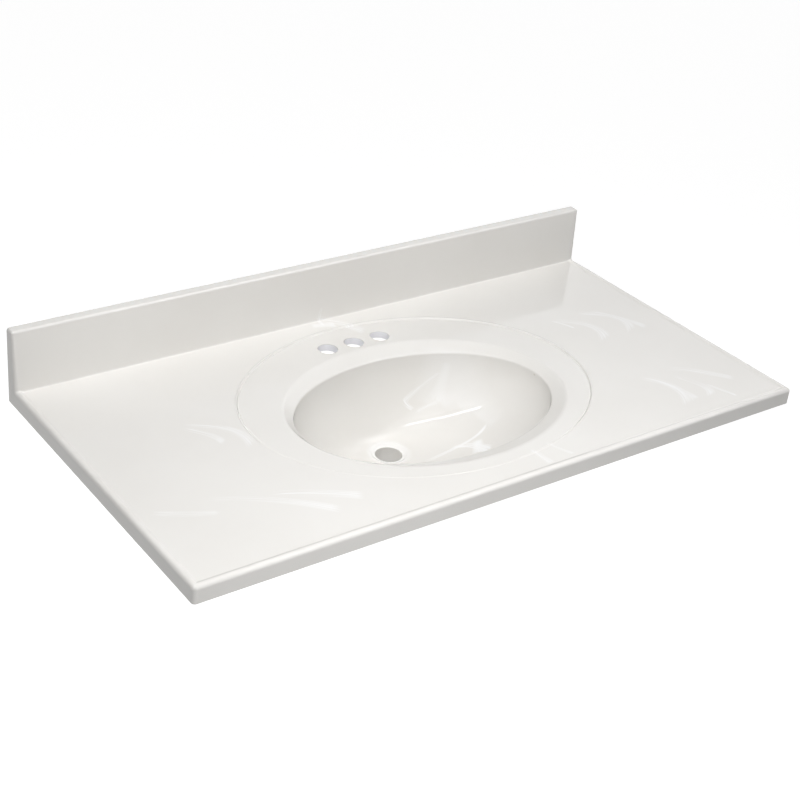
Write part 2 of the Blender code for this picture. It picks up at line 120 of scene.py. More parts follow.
BOWL_DEPTH = 0.150
BOWL_WALL = 0.012
BOWL_WALL_POWER = 1.7
BOWL_FLOOR_POWER = 1.9
WASTE_FROM_RIM = 0.0698
WASTE_Y = RIM_Y + RIM_HALF_DEPTH - WASTE_FROM_RIM
WASTE_RADIUS = 0.0222
SEAT_RADIUS = 0.028
DISH_RADIUS = 0.0325
DISH_DEPTH = 0.0038
DISH_SPREAD = 0.004
BORE_ROUND = 0.0008
BOSS_RADIUS = 0.042
WASTE_SEAT = SLAB_TOP - BOWL_DEPTH
BOWL_FLOOR = WASTE_SEAT + DISH_DEPTH

TAP_HOLE_RADIUS = 0.015875
TAP_HOLE_SPACING = 0.0508
TAP_HOLE_COUNT = 3
TAP_HOLE_Y = -0.108
TAP_HOLE_ROUND = 0.0012

OVERFLOW_DEPTH = 0.060
OVERFLOW_LEVEL = SLAB_TOP - OVERFLOW_DEPTH
SLEEVE_HALF_WIDTH = 0.017
SLEEVE_HALF_HEIGHT = 0.006
SLEEVE_WALL = 0.002
SLEEVE_SINK = 0.0003
DUCT_WIDTH = 0.044
DUCT_DEPTH = 0.014
DUCT_WALL = 0.002
DUCT_CORNER = 0.003
DUCT_PLUG = 0.008
DUCT_BEND_SHARE = 0.6
DUCT_HEADROOM = 0.006
DUCT_UNDER_FLOOR = 0.002

# %% Fineness of the finished surfaces
ROUND_STEPS = 12
COVE_STEPS = 12
STEP_STEPS = 10
OVAL_SIDES = 256
LEDGE_SIDES = 640
ROLL_STEPS = 16
WALL_STEPS = 72
DISH_STEPS = 8
HOLE_SIDES = 64
BACK_STEPS = 40
SLOT_END_STEPS = 16
DUCT_CORNER_STEPS = 5
STRIP = 0.0004
MERGE_DISTANCE = 0.00002
SHARP_ANGLE = math.radians(35)
QUARTER_TURN = math.pi / 2

# %% [markdown]
# ## The camera
#
# The photograph was taken from the front left, a little under thirty degrees above the deck,
# with a slightly turned camera and an optical axis that isn't in the middle of the frame. The
# roll is part of the camera's rotation, and the off-centre axis is a small lens shift.

# %% Camera
TARGET = Vector((-0.0158, -0.2116, 0.0273))
CAMERA_DISTANCE = 2.4288
CAMERA_AZIMUTH = math.radians(-37.843)
CAMERA_ELEVATION = math.radians(28.86)
CAMERA_ROLL = math.radians(5.553)
FRAME_PIXELS = 800
FOCAL_PIXELS = 1550.1
AXIS_PIXEL = (383, 370)
SENSOR_MM = 36


def direction(azimuth, elevation):
    """The way from the top to a place above it, with its azimuth counted from the front."""
    level = math.cos(elevation)
    return Vector((math.sin(azimuth) * level, -math.cos(azimuth) * level, math.sin(elevation)))


def add_object(name, data):
    """A new object with this data, linked to the scene."""
    made = bpy.data.objects.new(name, data)
    bpy.context.scene.collection.objects.link(made)
    return made


def aim(thing, place, side, up, facing):
    """Puts a thing at a place, with its own axes along these three directions."""
    turn = Matrix((side, up, facing)).transposed()
    thing.matrix_world = Matrix.Translation(place) @ turn.to_4x4()


def make_camera():
    """The photograph's camera, from its distance, two angles, roll and optical axis."""
    back = direction(CAMERA_AZIMUTH, CAMERA_ELEVATION)
    right = back.cross(Vector((0, 0, 1))).normalized() * -1
    up = back.cross(right)
    turned_right = right * math.cos(CAMERA_ROLL) + up * math.sin(CAMERA_ROLL)
    turned_up = up * math.cos(CAMERA_ROLL) - right * math.sin(CAMERA_ROLL)
    lens = bpy.data.cameras.new("studio_camera")
    lens.sensor_width = SENSOR_MM
    lens.lens = SENSOR_MM * FOCAL_PIXELS / FRAME_PIXELS
    lens.shift_x = (FRAME_PIXELS / 2 - AXIS_PIXEL[0]) / FRAME_PIXELS
    lens.shift_y = (AXIS_PIXEL[1] - FRAME_PIXELS / 2) / FRAME_PIXELS
    camera = add_object("studio_camera", lens)
    aim(camera, TARGET + back * CAMERA_DISTANCE, turned_right, turned_up, back)
    bpy.context.scene.camera = camera
    return camera


studio_camera = make_camera()
print(f"lens {studio_camera.data.lens:.1f} mm at {tuple(round(v, 3) for v in studio_camera.location)}")

# %% [markdown]
# ## Finishes
#
# A few helpers keep the node trees short. A wire is the output of a node, and the usual signs
# between wires make the nodes for a sum. They serve shader trees and Geometry Nodes trees alike.

# %% Helpers for node trees
HALF = 0.5
# Places of the colour sockets among the sockets of a mix node.
MIX_SHARE, MIX_NEAR, MIX_FAR, MIX_RESULT = 0, 6, 7, 2
SOCKET_KINDS = {
    float: "NodeSocketFloat", int: "NodeSocketInt", bpy.types.Material: "NodeSocketMaterial",
}


class Wire:
    """An output of a node; the usual signs make further nodes with it."""

    def __init__(self, socket):
        self.socket = socket
        self.tree = socket.id_data

    def __add__(self, other):
        return calc("ADD", self, other)

    def __sub__(self, other):
        return calc("SUBTRACT", self, other)

    def __rsub__(self, other):
        return calc("SUBTRACT", other, self)

    def __mul__(self, other):
        return calc("MULTIPLY", self, other)

    def __truediv__(self, other):
        return calc("DIVIDE", self, other)

    def __rtruediv__(self, other):
        return calc("DIVIDE", other, self)

    def __pow__(self, other):
        return calc("POWER", self, other)

    __radd__ = __add__
    __rmul__ = __mul__


def feed(node, inputs):
    """Sets inputs of a node, each to a value or to the wire that feeds it."""
    for name, value in inputs.items():
        if isinstance(value, Wire):
            node.id_data.links.new(value.socket, node.inputs[name])
        else:
            node.inputs[name].default_value = value


def add_node(tree, kind, inputs=None, **settings):
    """A node with its settings and inputs."""
    node = tree.nodes.new(kind)
    for name, value in settings.items():
        setattr(node, name, value)
    feed(node, inputs or {})
    return node


def wire_from(tree, kind, inputs=None, output=0, **settings):
    """One output of a new node."""
    return Wire(add_node(tree, kind, inputs, **settings).outputs[output])


def calc(operation, *terms):
    """One sum with at least one wire in it."""
    tree = next(term.tree for term in terms if isinstance(term, Wire))
    return wire_from(tree, "ShaderNodeMath", dict(enumerate(terms)), operation=operation)


def vector_calc(operation, *terms):
    """One vector sum; a length or a product of two vectors comes out as a number."""
    output = "Value" if operation in ("DOT_PRODUCT", "LENGTH") else "Vector"
    inputs = dict(enumerate(terms))
    return wire_from(terms[0].tree, "ShaderNodeVectorMath", inputs, output, operation=operation)


def clamped(value):
    """The same wire, with its sum held between 0 and 1."""
    value.socket.node.use_clamp = True
    return value


def ramp(value, start, end, low=0.0, high=1.0):
    """A value's smooth rise from low at start to high at end."""
    inputs = {"Value": value, "From Min": start, "From Max": end, "To Min": low, "To Max": high}
    return wire_from(value.tree, "ShaderNodeMapRange", inputs, "Result", interpolation_type="SMOOTHSTEP")


def between(start, end, share):
    """The value at a share of the way from start to end."""
    return (end - start) * share + start


def axes_of(place):
    """A vector's x, y and z."""
    return [Wire(each) for each in add_node(place.tree, "ShaderNodeSeparateXYZ", {0: place}).outputs]


def point(x, y, z=0.0):
    """A vector from its x, a wire, and its y and z."""
    return wire_from(x.tree, "ShaderNodeCombineXYZ", {"X": x, "Y": y, "Z": z})


def mixed_colour(share, near, far):
    """A colour between two others."""
    inputs = {MIX_SHARE: share, MIX_NEAR: near, MIX_FAR: far}
    return wire_from(share.tree, "ShaderNodeMix", inputs, MIX_RESULT, data_type="RGBA")


def noise(place, scale, detail, seed=0.0):
    """A four-dimensional noise, 0 to 1; its fourth dimension is the seed."""
    inputs = {"Vector": place, "W": seed, "Scale": scale, "Detail": detail}
    return wire_from(place.tree, "ShaderNodeTexNoise", inputs, noise_dimensions="4D")


def bump(height, strength, distance):
    """The shading of a low relief."""
    inputs = {"Height": height, "Strength": strength, "Distance": distance}
    return wire_from(height.tree, "ShaderNodeBump", inputs)


def group_tree(name, kind, inputs, outputs):
    """A node group, its inputs as wires, and its end; an input has a value or a socket's kind."""
    tree = bpy.data.node_groups.new(name, kind)
    for label, value in inputs.items():
        socket_kind = value if isinstance(value, str) else SOCKET_KINDS[type(value)]
        socket = tree.interface.new_socket(label, in_out="INPUT", socket_type=socket_kind)
        if socket_kind != value:
            socket.default_value = value
    for label, socket_kind in outputs.items():
        tree.interface.new_socket(label, in_out="OUTPUT", socket_type=socket_kind)
    start = tree.nodes.new("NodeGroupInput")
    given = {socket.name: Wire(socket) for socket in start.outputs if socket.name}
    return tree, given, tree.nodes.new("NodeGroupOutput")


def new_material(name):
    """A node material, and its Principled shader."""
    look = bpy.data.materials.new(name)
    look.use_nodes = True
    return look, look.node_tree.nodes["Principled BSDF"]


def object_place(shader):
    """The place on the object, which doesn't depend on the camera."""
    return wire_from(shader.id_data, "ShaderNodeTexCoord", output="Object")


# %% [markdown]
# ## Gel coated marble
#
# The real face is cast in a polished mould: first a clear gel coat is sprayed, then white resin
# with marble dust is poured behind it and stirred so that streaks of pure white stay in it. The
# photograph shows them as feathers: a few thin parallel lines that start together, bend, and
# end in a soft brush. They are white on white. A picture of them would not follow the part when
# it is resized, so each feather is one use of a shader group, placed by its start and its end.
# Where the photograph shows a soft burst without lines, the feather's softness hides them. One
# broad soft patch on the back wall of the bowl is a painted reflection of a soft light, drawn by
# the same group. The funnel of the waste has a whiter ring, a painted highlight, which is a mask
# of its own and stops at the bore.
# The casting's clouds and its fine grain are a second group, which the other finishes use too.

# %% Shader groups
VECTOR, NUMBER = "NodeSocketVector", "NodeSocketFloat"
SHADER_TREE = "ShaderNodeTree"
CLOUD_DETAIL = 3.0
FINE_DETAIL = 1.0
NOISE_RANGE = (0.3, 0.7)

HUMP_SCALE = 4.0
SWELL_POWER = 2.5
LINES_ACROSS = 5.0
LINES_ALONG = 1.3
STREAK_DETAIL = 1.5
STREAK_EDGE = (0.47, 0.60)
BRUSH_FILL = 0.75
RAGGEDNESS = 0.45
RAGGED_END = (0.82, 0.64)
OPENING_SHARE = 0.2
CLOSING_SHARE = 0.9


def make_mottle():
    """Clouds and a fine grain, both 0 to 1."""
    inputs = {"Place": VECTOR, "Cloud scale": 1.0, "Grain scale": 1.0, "Seed": 0.0}
    tree, given, end = group_tree("mottle", SHADER_TREE, inputs, {"Cloud": NUMBER, "Grain": NUMBER})
    broad = noise(given["Place"], given["Cloud scale"], CLOUD_DETAIL, given["Seed"])
    fine = noise(given["Place"], given["Grain scale"], FINE_DETAIL, given["Seed"])
    feed(end, {"Cloud": ramp(broad, *NOISE_RANGE), "Grain": fine})
    return tree


def make_feather_and_sheen():
    """One feather of white: 0 off it, its strength at its fullest; softness hides its lines.
    At full softness it is a soft white patch, as the painted reflection on the bowl's back wall.
    """
    inputs = {"Place": VECTOR, "Start": VECTOR, "End": VECTOR}
    inputs |= dict.fromkeys(("Bow", "Bend", "Start width", "End width"), 1.0)
    inputs |= dict.fromkeys(("Strength", "Softness", "Seed"), 0.0)
    tree, given, end = group_tree("feather_and_sheen", SHADER_TREE, inputs, {"White": NUMBER})
    chord = vector_calc("SUBTRACT", given["End"], given["Start"])
    length = vector_calc("LENGTH", chord)
    along = vector_calc("NORMALIZE", chord)
    across = vector_calc("CROSS_PRODUCT", along, (0.0, 0.0, 1.0))
    offset = vector_calc("SUBTRACT", given["Place"], given["Start"])
    run = clamped(vector_calc("DOT_PRODUCT", offset, along) / length)

    # The middle line is a hump, 1 high, whose top the bend moves along the feather.
    moved = run ** given["Bend"]
    rest = 1.0 - moved
    hump = moved * rest * HUMP_SCALE
    off_line = vector_calc("DOT_PRODUCT", offset, across) - hump * given["Bow"]
    slope = (rest - moved) * HUMP_SCALE * given["Bow"] / length
    distance = off_line / calc("SQRT", slope * slope + 1.0)

    # Lines run along it, thin at the start and grown together at the end.
    swelling = run ** SWELL_POWER
    share = distance / between(given["Start width"], given["End width"], swelling)
    body = clamped(1.0 - share * share)
    line_place = point(share * LINES_ACROSS, run * LINES_ALONG)
    streaks = noise(line_place, 1.0, STREAK_DETAIL, given["Seed"])
    brush = clamped(swelling * BRUSH_FILL + ramp(streaks, *STREAK_EDGE))
    filled = calc("MAXIMUM", brush, given["Softness"])
    ragged = run - streaks * RAGGEDNESS
    closing = ramp(ragged, *RAGGED_END) * ramp(run, 1.0, CLOSING_SHARE)
    ends = ramp(run, 0.0, OPENING_SHARE) * closing
    feed(end, {"White": body * filled * ends * given["Strength"]})
    return tree


mottle = make_mottle()
feather_and_sheen = make_feather_and_sheen()
print("groups", mottle.name, feather_and_sheen.name)

# %% The feathers and where they lie
# Each row has the start's x and y and the end's, seen from above, the bow (how far it bends off
# the straight line), the bend (moves the bow towards the end), the width at the start and at the
# end, the strength and the softness. Those on the upright faces are folded out.
FEATHERS = (
    (0.344, -0.196, 0.366, -0.236, -0.0013, 1.0, 0.0040, 0.0030, 1.3, 0.0),
    (0.346, -0.192, 0.384, -0.294, -0.0296, 1.3, 0.0080, 0.0150, 1.0, 0.0),
    (0.404, -0.190, 0.446, -0.290, -0.0325, 1.5, 0.0080, 0.0130, 1.0, 0.0),
    (0.424, -0.196, 0.483, -0.290, -0.0116, 0.8, 0.0080, 0.0080, 1.0, 0.0),
    (0.345, -0.412, 0.357, -0.516, -0.0240, 1.1, 0.0090, 0.0140, 1.0, 0.0),
    (0.360, -0.430, 0.383, -0.510, -0.0049, 0.95, 0.0080, 0.0080, 1.0, 0.0),
    (0.404, -0.412, 0.490, -0.490, -0.0080, 0.7, 0.0090, 0.0080, 1.0, 0.0),
    (0.405, -0.432, 0.410, -0.512, -0.0138, 1.7, 0.0070, 0.0110, 1.0, 0.0),
    (0.428, -0.478, 0.449, -0.532, -0.0015, 1.0, 0.0040, 0.0030, 1.3, 0.0),
    (-0.373, -0.209, -0.310, -0.309, -0.0248, 1.3, 0.0080, 0.0130, 1.0, 0.0),
    (-0.374, -0.218, -0.343, -0.283, -0.0072, 1.6, 0.0060, 0.0090, 1.0, 0.0),
    (-0.440, -0.391, -0.284, -0.503, -0.0107, 1.13, 0.0070, 0.0120, 1.0, 0.0),
    (-0.356, -0.424, -0.238, -0.488, -0.0064, 0.8, 0.0090, 0.0110, 1.0, 0.0),
    (-0.518, -0.386, -0.432, -0.431, 0.0023, 0.8, 0.0080, 0.0060, 0.7, 0.0),
    (0.048, -0.498, 0.049, -0.546, 0.0010, 1.0, 0.0060, 0.0080, 0.9, 0.4),
    (0.081, -0.494, 0.096, -0.541, 0.0030, 1.0, 0.0040, 0.0040, 0.8, 0.0),
    (-0.030, -0.018, 0.038, -0.088, -0.0130, 0.7, 0.0090, 0.0130, 1.0, 0.0),
    (-0.008, 0.004, -0.016, -0.044, 0.0010, 1.0, 0.0030, 0.0080, 1.4, 0.0),
    (-0.036, -0.033, 0.006, -0.046, 0.0, 1.0, 0.0080, 0.0110, 1.0, 0.8),
    (0.028, -0.281, 0.160, -0.2755, 0.0076, 2.9, 0.0036, 0.0030, 2.6, 0.0),
    (0.086, -0.274, 0.115, -0.339, -0.0143, 0.9, 0.0060, 0.0130, 3.0, 0.0),
    (0.128, -0.292, 0.106, -0.328, 0.0010, 1.0, 0.0090, 0.0150, 1.5, 0.9),
)
# These lie on the steep back wall of the bowl, and their places are x and z, seen from the front.
WALL_FEATHERS_AND_SHEEN = (
    (0.130, -0.019, 0.060, -0.073, 0.0012, 2.5, 0.0040, 0.0060, 1.2, 0.0),
    (0.062, -0.063, 0.076, -0.084, 0.0037, 0.8, 0.0050, 0.0040, 1.4, 0.0),
    (0.076, -0.088, 0.118, -0.0715, -0.0005, 1.0, 0.0040, 0.0030, 0.9, 0.0),
    (0.135, 0.004, 0.112, -0.077, -0.0033, 0.7, 0.0110, 0.0240, 0.8, 1.0),
    # Painted reflection: this broad soft patch stands for a soft light mirrored by the back wall.
    (0.142, 0.020, 0.130, -0.085, 0.0, 1.0, 0.0500, 0.0600, 0.5, 1.0),
)


# %% Gel coated marble
MARBLE_WHITE = (0.790, 0.776, 0.750, 1.0)
MARBLE_CLOUD = (0.772, 0.756, 0.728, 1.0)
# The white of the feathers, and also of the painted highlight and the painted reflection.
FEATHER_AND_HIGHLIGHT_WHITE = (0.900, 0.900, 0.900, 1.0)
FEATHER_AND_HIGHLIGHT_SHARE = 0.7
# Painted highlight: the waste's funnel is whiter between these radii, where it mirrors bright light.
HIGHLIGHT_INNER_RADIUS = 0.028
HIGHLIGHT_OUTER_RADIUS = 0.040
HIGHLIGHT_STRENGTH = 0.75
WALL_MARGIN = 0.012
GEL_IOR = 1.5
GEL_SWELL_SCALE = 22.0
# A mottle has its cloud scale, grain scale and seed. A roughness runs from the smoothest spot to
# the roughest, and a relief has its strength and its height.
MARBLE_MOTTLE = (7.0, 900.0, 0.0)
MARBLE_ROUGHNESS = (0.028, 0.052)
MARBLE_RELIEF = (0.12, 0.0003)


def mottled(place, cloud_scale, grain_scale, seed):
    """The clouds and the grain of one finish."""
    inputs = {"Place": place, "Cloud scale": cloud_scale, "Grain scale": grain_scale, "Seed": seed}
    node = add_node(place.tree, "ShaderNodeGroup", inputs, node_tree=mottle)
    return Wire(node.outputs["Cloud"]), Wire(node.outputs["Grain"])


def folded_out(place):
    """The place seen from above, with the backsplash and the front face laid flat."""
    x, y, z = axes_of(place)
    above = calc("MAXIMUM", z - SLAB_TOP, 0.0)
    below = calc("MINIMUM", z - SLAB_TOP, 0.0)
    in_front = calc("LESS_THAN", y, -TOP_DEPTH + EDGE_ROUND)
    return point(x, y + above + below * in_front)


def on_the_wall(place):
    """The place seen from the front, and 1 on the back wall of the bowl."""
    x, y, z = axes_of(place)
    behind = ramp(y, RIM_Y + WALL_MARGIN, RIM_Y + 2 * WALL_MARGIN)
    return point(x, z), behind * ramp(z, LEDGE_TOP, LEDGE_TOP - WALL_MARGIN)


def waste_painted_highlight(flat_place):
    """A painted highlight: the whiter ring on the funnel of the waste, which stops at the bore's edge."""
    from_waste = vector_calc("LENGTH", vector_calc("SUBTRACT", flat_place, (0.0, WASTE_Y, 0.0)))
    outside_bore = ramp(from_waste, WASTE_RADIUS, WASTE_RADIUS + BORE_ROUND, 0.0, HIGHLIGHT_STRENGTH)
    return outside_bore * ramp(from_waste, HIGHLIGHT_OUTER_RADIUS, HIGHLIGHT_INNER_RADIUS)


def feather_and_sheen_at(place, row, seed):
    """One feather, from its row in the table."""
    x, y, end_x, end_y, *values = row
    names = ("Bow", "Bend", "Start width", "End width", "Strength", "Softness", "Seed")
    inputs = {"Place": place, "Start": (x, y, 0.0), "End": (end_x, end_y, 0.0)}
    inputs |= dict(zip(names, (*values, float(seed))))
    return wire_from(place.tree, "ShaderNodeGroup", inputs, "White", node_tree=feather_and_sheen)


def make_gel_coated_marble(name):
    """White stone with its feathers, the painted highlight on the waste's funnel and the painted
    reflection on the bowl's back wall, under a smooth gel coat that swells a little.
    """
    look, shader = new_material(name)
    place = object_place(shader)
    flat_place = folded_out(place)
    wall_place, wall_share = on_the_wall(place)
    # The whiter ring on the funnel is a painted highlight; the feathers are added to it.
    feathers_and_highlights = waste_painted_highlight(flat_place)
    for seed, row in enumerate(FEATHERS):
        feathers_and_highlights = calc("MAXIMUM", feathers_and_highlights, feather_and_sheen_at(flat_place, row, seed))
    for seed, row in enumerate(WALL_FEATHERS_AND_SHEEN, len(FEATHERS)):
        feathers_and_highlights = calc("MAXIMUM", feathers_and_highlights, feather_and_sheen_at(wall_place, row, seed) * wall_share)
    cloud, _ = mottled(place, *MARBLE_MOTTLE)
    stone = mixed_colour(cloud, MARBLE_WHITE, MARBLE_CLOUD)
    feed(shader, {
        "Base Color": mixed_colour(clamped(feathers_and_highlights * FEATHER_AND_HIGHLIGHT_SHARE), stone, FEATHER_AND_HIGHLIGHT_WHITE),
        "Roughness": ramp(cloud, 0.0, 1.0, *MARBLE_ROUGHNESS),
        "IOR": GEL_IOR,
        "Normal": bump(noise(place, GEL_SWELL_SCALE, FINE_DETAIL), *MARBLE_RELIEF),
    })
    return look


# %% [markdown]
# ## The bare back, the plastic and the drilled holes
#
# Behind its face the casting is bare: a matt, sandy, slightly darker skin, with small pits where
# air stayed in the pour. The duct and the sleeve are thin moulded plastic, with the faint lines
# that moulding leaves along them. The walls of the tap holes are drilled, and a drill leaves fine
# rings. The photograph shows them paler and cooler than the face; that pale, cool colour is partly
# the cut's own tone and partly painted light, which stands in for the light from below.
# The last two are one and the same rule, fine lines over soft clouds, with different values.

# %% Cast back, duct plastic and drilled walls
BACK_LIGHT = (0.74, 0.72, 0.67, 1.0)
BACK_DARK = (0.60, 0.575, 0.52, 1.0)
BACK_MOTTLE = (16.0, 700.0, 5.0)
BACK_ROUGHNESS = (0.68, 0.9)
BACK_RELIEF = (0.6, 0.0008)
# The pits' darker colour is painted shade in them; the bump gives their depth.
PIT_PAINTED_SHADE = (0.42, 0.40, 0.36, 1.0)
PIT_SCALE = 130.0
PIT_EDGE = (0.20, 0.08)
PIT_DEPTH = 2.0
PIT_PATCH_SCALE = 30.0
PIT_PATCH_SEED = 9.0
PIT_PATCH_LEVEL = 0.52
PLASTIC = dict(
    light=(0.76, 0.76, 0.74, 1.0), dark=(0.66, 0.66, 0.635, 1.0), clouds=(40.0, 1500.0, 11.0),
    stretch=(900.0, 900.0, 25.0), seed=3.0, line_share=0.5, roughness=(0.36, 0.50),
    relief=(0.25, 0.0002), grain_share=1.0,
)
# The drilled walls' pale, cool colour is partly the cut's own tone, partly painted light from below.
DRILLED_AND_PAINTED_LIGHT = dict(
    light=(0.92, 0.92, 0.95, 1.0), dark=(0.86, 0.86, 0.90, 1.0), clouds=(90.0, 1200.0, 17.0),
    stretch=(40.0, 40.0, 1400.0), seed=4.0, line_share=0.6, roughness=(0.45, 0.65),
    relief=(0.3, 0.0002), grain_share=0.0,
)


def make_cast_back(name):
    """Sandy and matt, with pits in patches, whose darker colour is painted shade."""
    look, shader = new_material(name)
    place = object_place(shader)
    cloud, grain = mottled(place, *BACK_MOTTLE)
    sandy = mixed_colour(cloud, BACK_LIGHT, BACK_DARK)
    cells = wire_from(place.tree, "ShaderNodeTexVoronoi", {"Vector": place, "Scale": PIT_SCALE}, "Distance")
    patches = noise(place, PIT_PATCH_SCALE, 0.0, PIT_PATCH_SEED)
    pit = ramp(cells, *PIT_EDGE) * calc("GREATER_THAN", patches, PIT_PATCH_LEVEL)
    feed(shader, {
        "Base Color": mixed_colour(pit, sandy, PIT_PAINTED_SHADE),
        "Roughness": ramp(grain, *NOISE_RANGE, *BACK_ROUGHNESS),
        "Normal": bump(grain + cloud - pit * PIT_DEPTH, *BACK_RELIEF),
    })
    return look


def make_lined(name, light, dark, clouds, stretch, seed, line_share, roughness, relief, grain_share):
    """Fine lines over soft clouds; they run the way in which the stretch is different."""
    look, shader = new_material(name)
    place = object_place(shader)
    cloud, grain = mottled(place, *clouds)
    lines = noise(vector_calc("MULTIPLY", place, stretch), 1.0, FINE_DETAIL, seed)
    feed(shader, {
        "Base Color": mixed_colour(between(cloud, lines, line_share), light, dark),
        "Roughness": ramp(grain, *NOISE_RANGE, *roughness),
        "Normal": bump(lines + grain * grain_share, *relief),
    })
    return look


marble = make_gel_coated_marble("gel_coated_marble")
cast_back = make_cast_back("cast_back")
plastic = make_lined("duct_plastic", **PLASTIC)
drilled_and_painted_light = make_lined("drilled_wall_and_painted_light", **DRILLED_AND_PAINTED_LIGHT)
FACE, BACK, CUT = 0, 1, 2
print(f"{len(FEATHERS) + len(WALL_FEATHERS_AND_SHEEN)} feathers in the marble")

# %% [markdown]
# ## Helpers for closed shapes
#
# Every piece is a closed solid, built in one bmesh from rings of points. A ring is joined to the
# next one by four-sided faces, and each band of faces between two points of the ring carries
# its finish: the gel coat where the mould was sprayed, the bare casting where the resin was
# poured. A flat strip beside each rounding keeps its shading off the large flats.

# %% Helpers for meshes


def shares(steps):
    """Even shares of a way, from 0 to 1."""
    return [step / steps for step in range(steps + 1)]


def smooth(share):
    """A smooth way from 0 to 1 that is level at both ends."""
    return (1 - math.cos(math.pi * share)) / 2


def arc(centre, radius, start, end, steps):
    """Points of an arc in a section, from one angle to another."""
    turns = [start + (end - start) * share for share in shares(steps)]
    return [(centre[0] + radius * math.cos(t), centre[1] + radius * math.sin(t)) for t in turns]


def rings_of(shape, outlines):
    """A ring of vertices for each outline."""
    return [[shape.verts.new(place) for place in outline] for outline in outlines]


def skin(shape, rings, finish):
    """Faces from each ring to the next; the finish is a number or a rule by place in the ring."""
    for near, far in zip(rings[:-1], rings[1:]):
        for index in range(len(near)):
            after = (index + 1) % len(near)
            face = shape.faces.new((near[index], near[after], far[after], far[index]))
            face.material_index = finish(index) if callable(finish) else finish


def lid(shape, ring, finish):
    """One flat face over a ring."""
    shape.faces.new(ring).material_index = finish


def finished(name, shape, looks):
    """A bmesh as a smooth closed object at the origin, with its finishes."""
    bmesh.ops.remove_doubles(shape, verts=shape.verts, dist=MERGE_DISTANCE)
    bmesh.ops.dissolve_degenerate(shape, edges=shape.edges, dist=MERGE_DISTANCE / 2)
    bmesh.ops.recalc_face_normals(shape, faces=shape.faces)
    loose = sum(1 for edge in shape.edges if len(edge.link_faces) != 2)
    mesh = bpy.data.meshes.new(name)
    shape.to_mesh(mesh)
    shape.free()
    for look in looks:
        mesh.materials.append(look)
    mesh.shade_smooth()
    mesh.set_sharp_from_angle(angle=SHARP_ANGLE)
    print(f"{name}: {len(mesh.polygons)} faces, {loose} open edges")
    return add_object(name, mesh)


def stand_for(piece, node):
    """The piece takes the node's place and rides with its body."""
    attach(piece, "root")
    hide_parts(node)


# %% [markdown]
# ## The edge mouldings
#
# On the real top the deck turns down at the front and both ends, and a lip of about two
# millimetres stands round it to keep water on the deck. The section could be a bevelled box, but
# then the lip's fall to the deck and the round nose would be separate bevels. Here it is one
# outline of arcs and a cosine fall, swept round the corner: points that lie nearer to the face
# than the nose's radius turn about the corner's centre, the others meet in a mitre.

# %% Section of the edge mouldings
LIP_RUN = LIP_WIDTH - STRIP - EDGE_ROUND
CORNER_TURNS = [math.pi / 4 * (1 - share) for share in shares(ROUND_STEPS)]
SEAM_TURN = math.radians(0.3)
CORNER_TURNS.insert(1, CORNER_TURNS[0] - SEAM_TURN)


def lip_fall(inward):
    """Height of the lip between its nose and the deck, as a cosine fall."""
    share = min(max((inward - EDGE_ROUND) / LIP_RUN, 0.0), 1.0)
    return EDGE_TOP - (EDGE_TOP - SLAB_TOP) * smooth(share)


def fall_stations():
    """Distances in from the outer face at the points of the lip's fall."""
    return [EDGE_ROUND + LIP_RUN * share for share in shares(COVE_STEPS)[1:]] + [LIP_WIDTH]


def edge_section():
    """Outline of the moulding, from its inner foot round the front to the deck and the seat."""
    points = [(EDGE_WIDTH, 0.0), (EDGE_ARRIS + STRIP, 0.0)]
    points += arc((EDGE_ARRIS, EDGE_ARRIS), EDGE_ARRIS, -QUARTER_TURN, -2 * QUARTER_TURN, ROUND_STEPS // 2)
    points.append((0.0, EDGE_ARRIS + STRIP))
    points.append((0.0, SEAT_TOP))
    points.append((0.0, EDGE_TOP - EDGE_ROUND - STRIP))
    centre = (EDGE_ROUND, EDGE_TOP - EDGE_ROUND)
    points += arc(centre, EDGE_ROUND, 2 * QUARTER_TURN, QUARTER_TURN, ROUND_STEPS)
    points += [(inward, lip_fall(inward)) for inward in fall_stations()]
    seat_start = len(points)
    points += [(LIP_WIDTH, SEAT_TOP), (EDGE_WIDTH, SEAT_TOP)]
    return points, seat_start


SECTION, SEAT_START = edge_section()
print(f"edge section of {len(SECTION)} points")


def section_finish(index):
    """The gel coat reaches from the bottom arris to the deck; the rest is bare casting."""
    return FACE if 1 <= index < SEAT_START - 1 else BACK


def corner_points(turn):
    """The section at one turn of the corner, as distances in from the end and the front."""
    points = []
    for inward, height in SECTION:
        reach = max(EDGE_ROUND - inward, 0.0)
        centre = max(EDGE_ROUND, inward)
        end = centre - reach * math.sin(turn)
        front = centre - reach * math.cos(turn)
        points.append((end, front, height))
    return points


def corner_outlines(place):
    """The section round a corner and straight on for a strip, each point placed by a rule."""
    outlines = [corner_points(turn) for turn in CORNER_TURNS]
    outlines.append([(EDGE_WIDTH + STRIP, front, height) for end, front, height in outlines[-1]])
    return [[place(*where) for where in outline] for outline in outlines]


# %% Front moulding


def make_front_edge():
    """One section at each turn of the left corner, and the same mirrored at the right one."""
    shape = bmesh.new()
    outlines = corner_outlines(lambda end, front, z: (end - HALF_WIDTH, front - TOP_DEPTH, z))
    outlines += [[(-x, y, z) for x, y, z in ring] for ring in reversed(outlines)]
    rings = rings_of(shape, outlines)
    skin(shape, rings, section_finish)
    lid(shape, rings[0], BACK)
    lid(shape, rings[-1], BACK)
    return finished("front_edge_face", shape, [marble, cast_back])


front_edge_face = make_front_edge()
stand_for(front_edge_face, "front_edge")

# %% [markdown]
# The end mouldings run to the wall. Up to the backsplash they have the full section; under the
# backsplash only their lower half goes on, and the backsplash stands on it.

# %% End mouldings


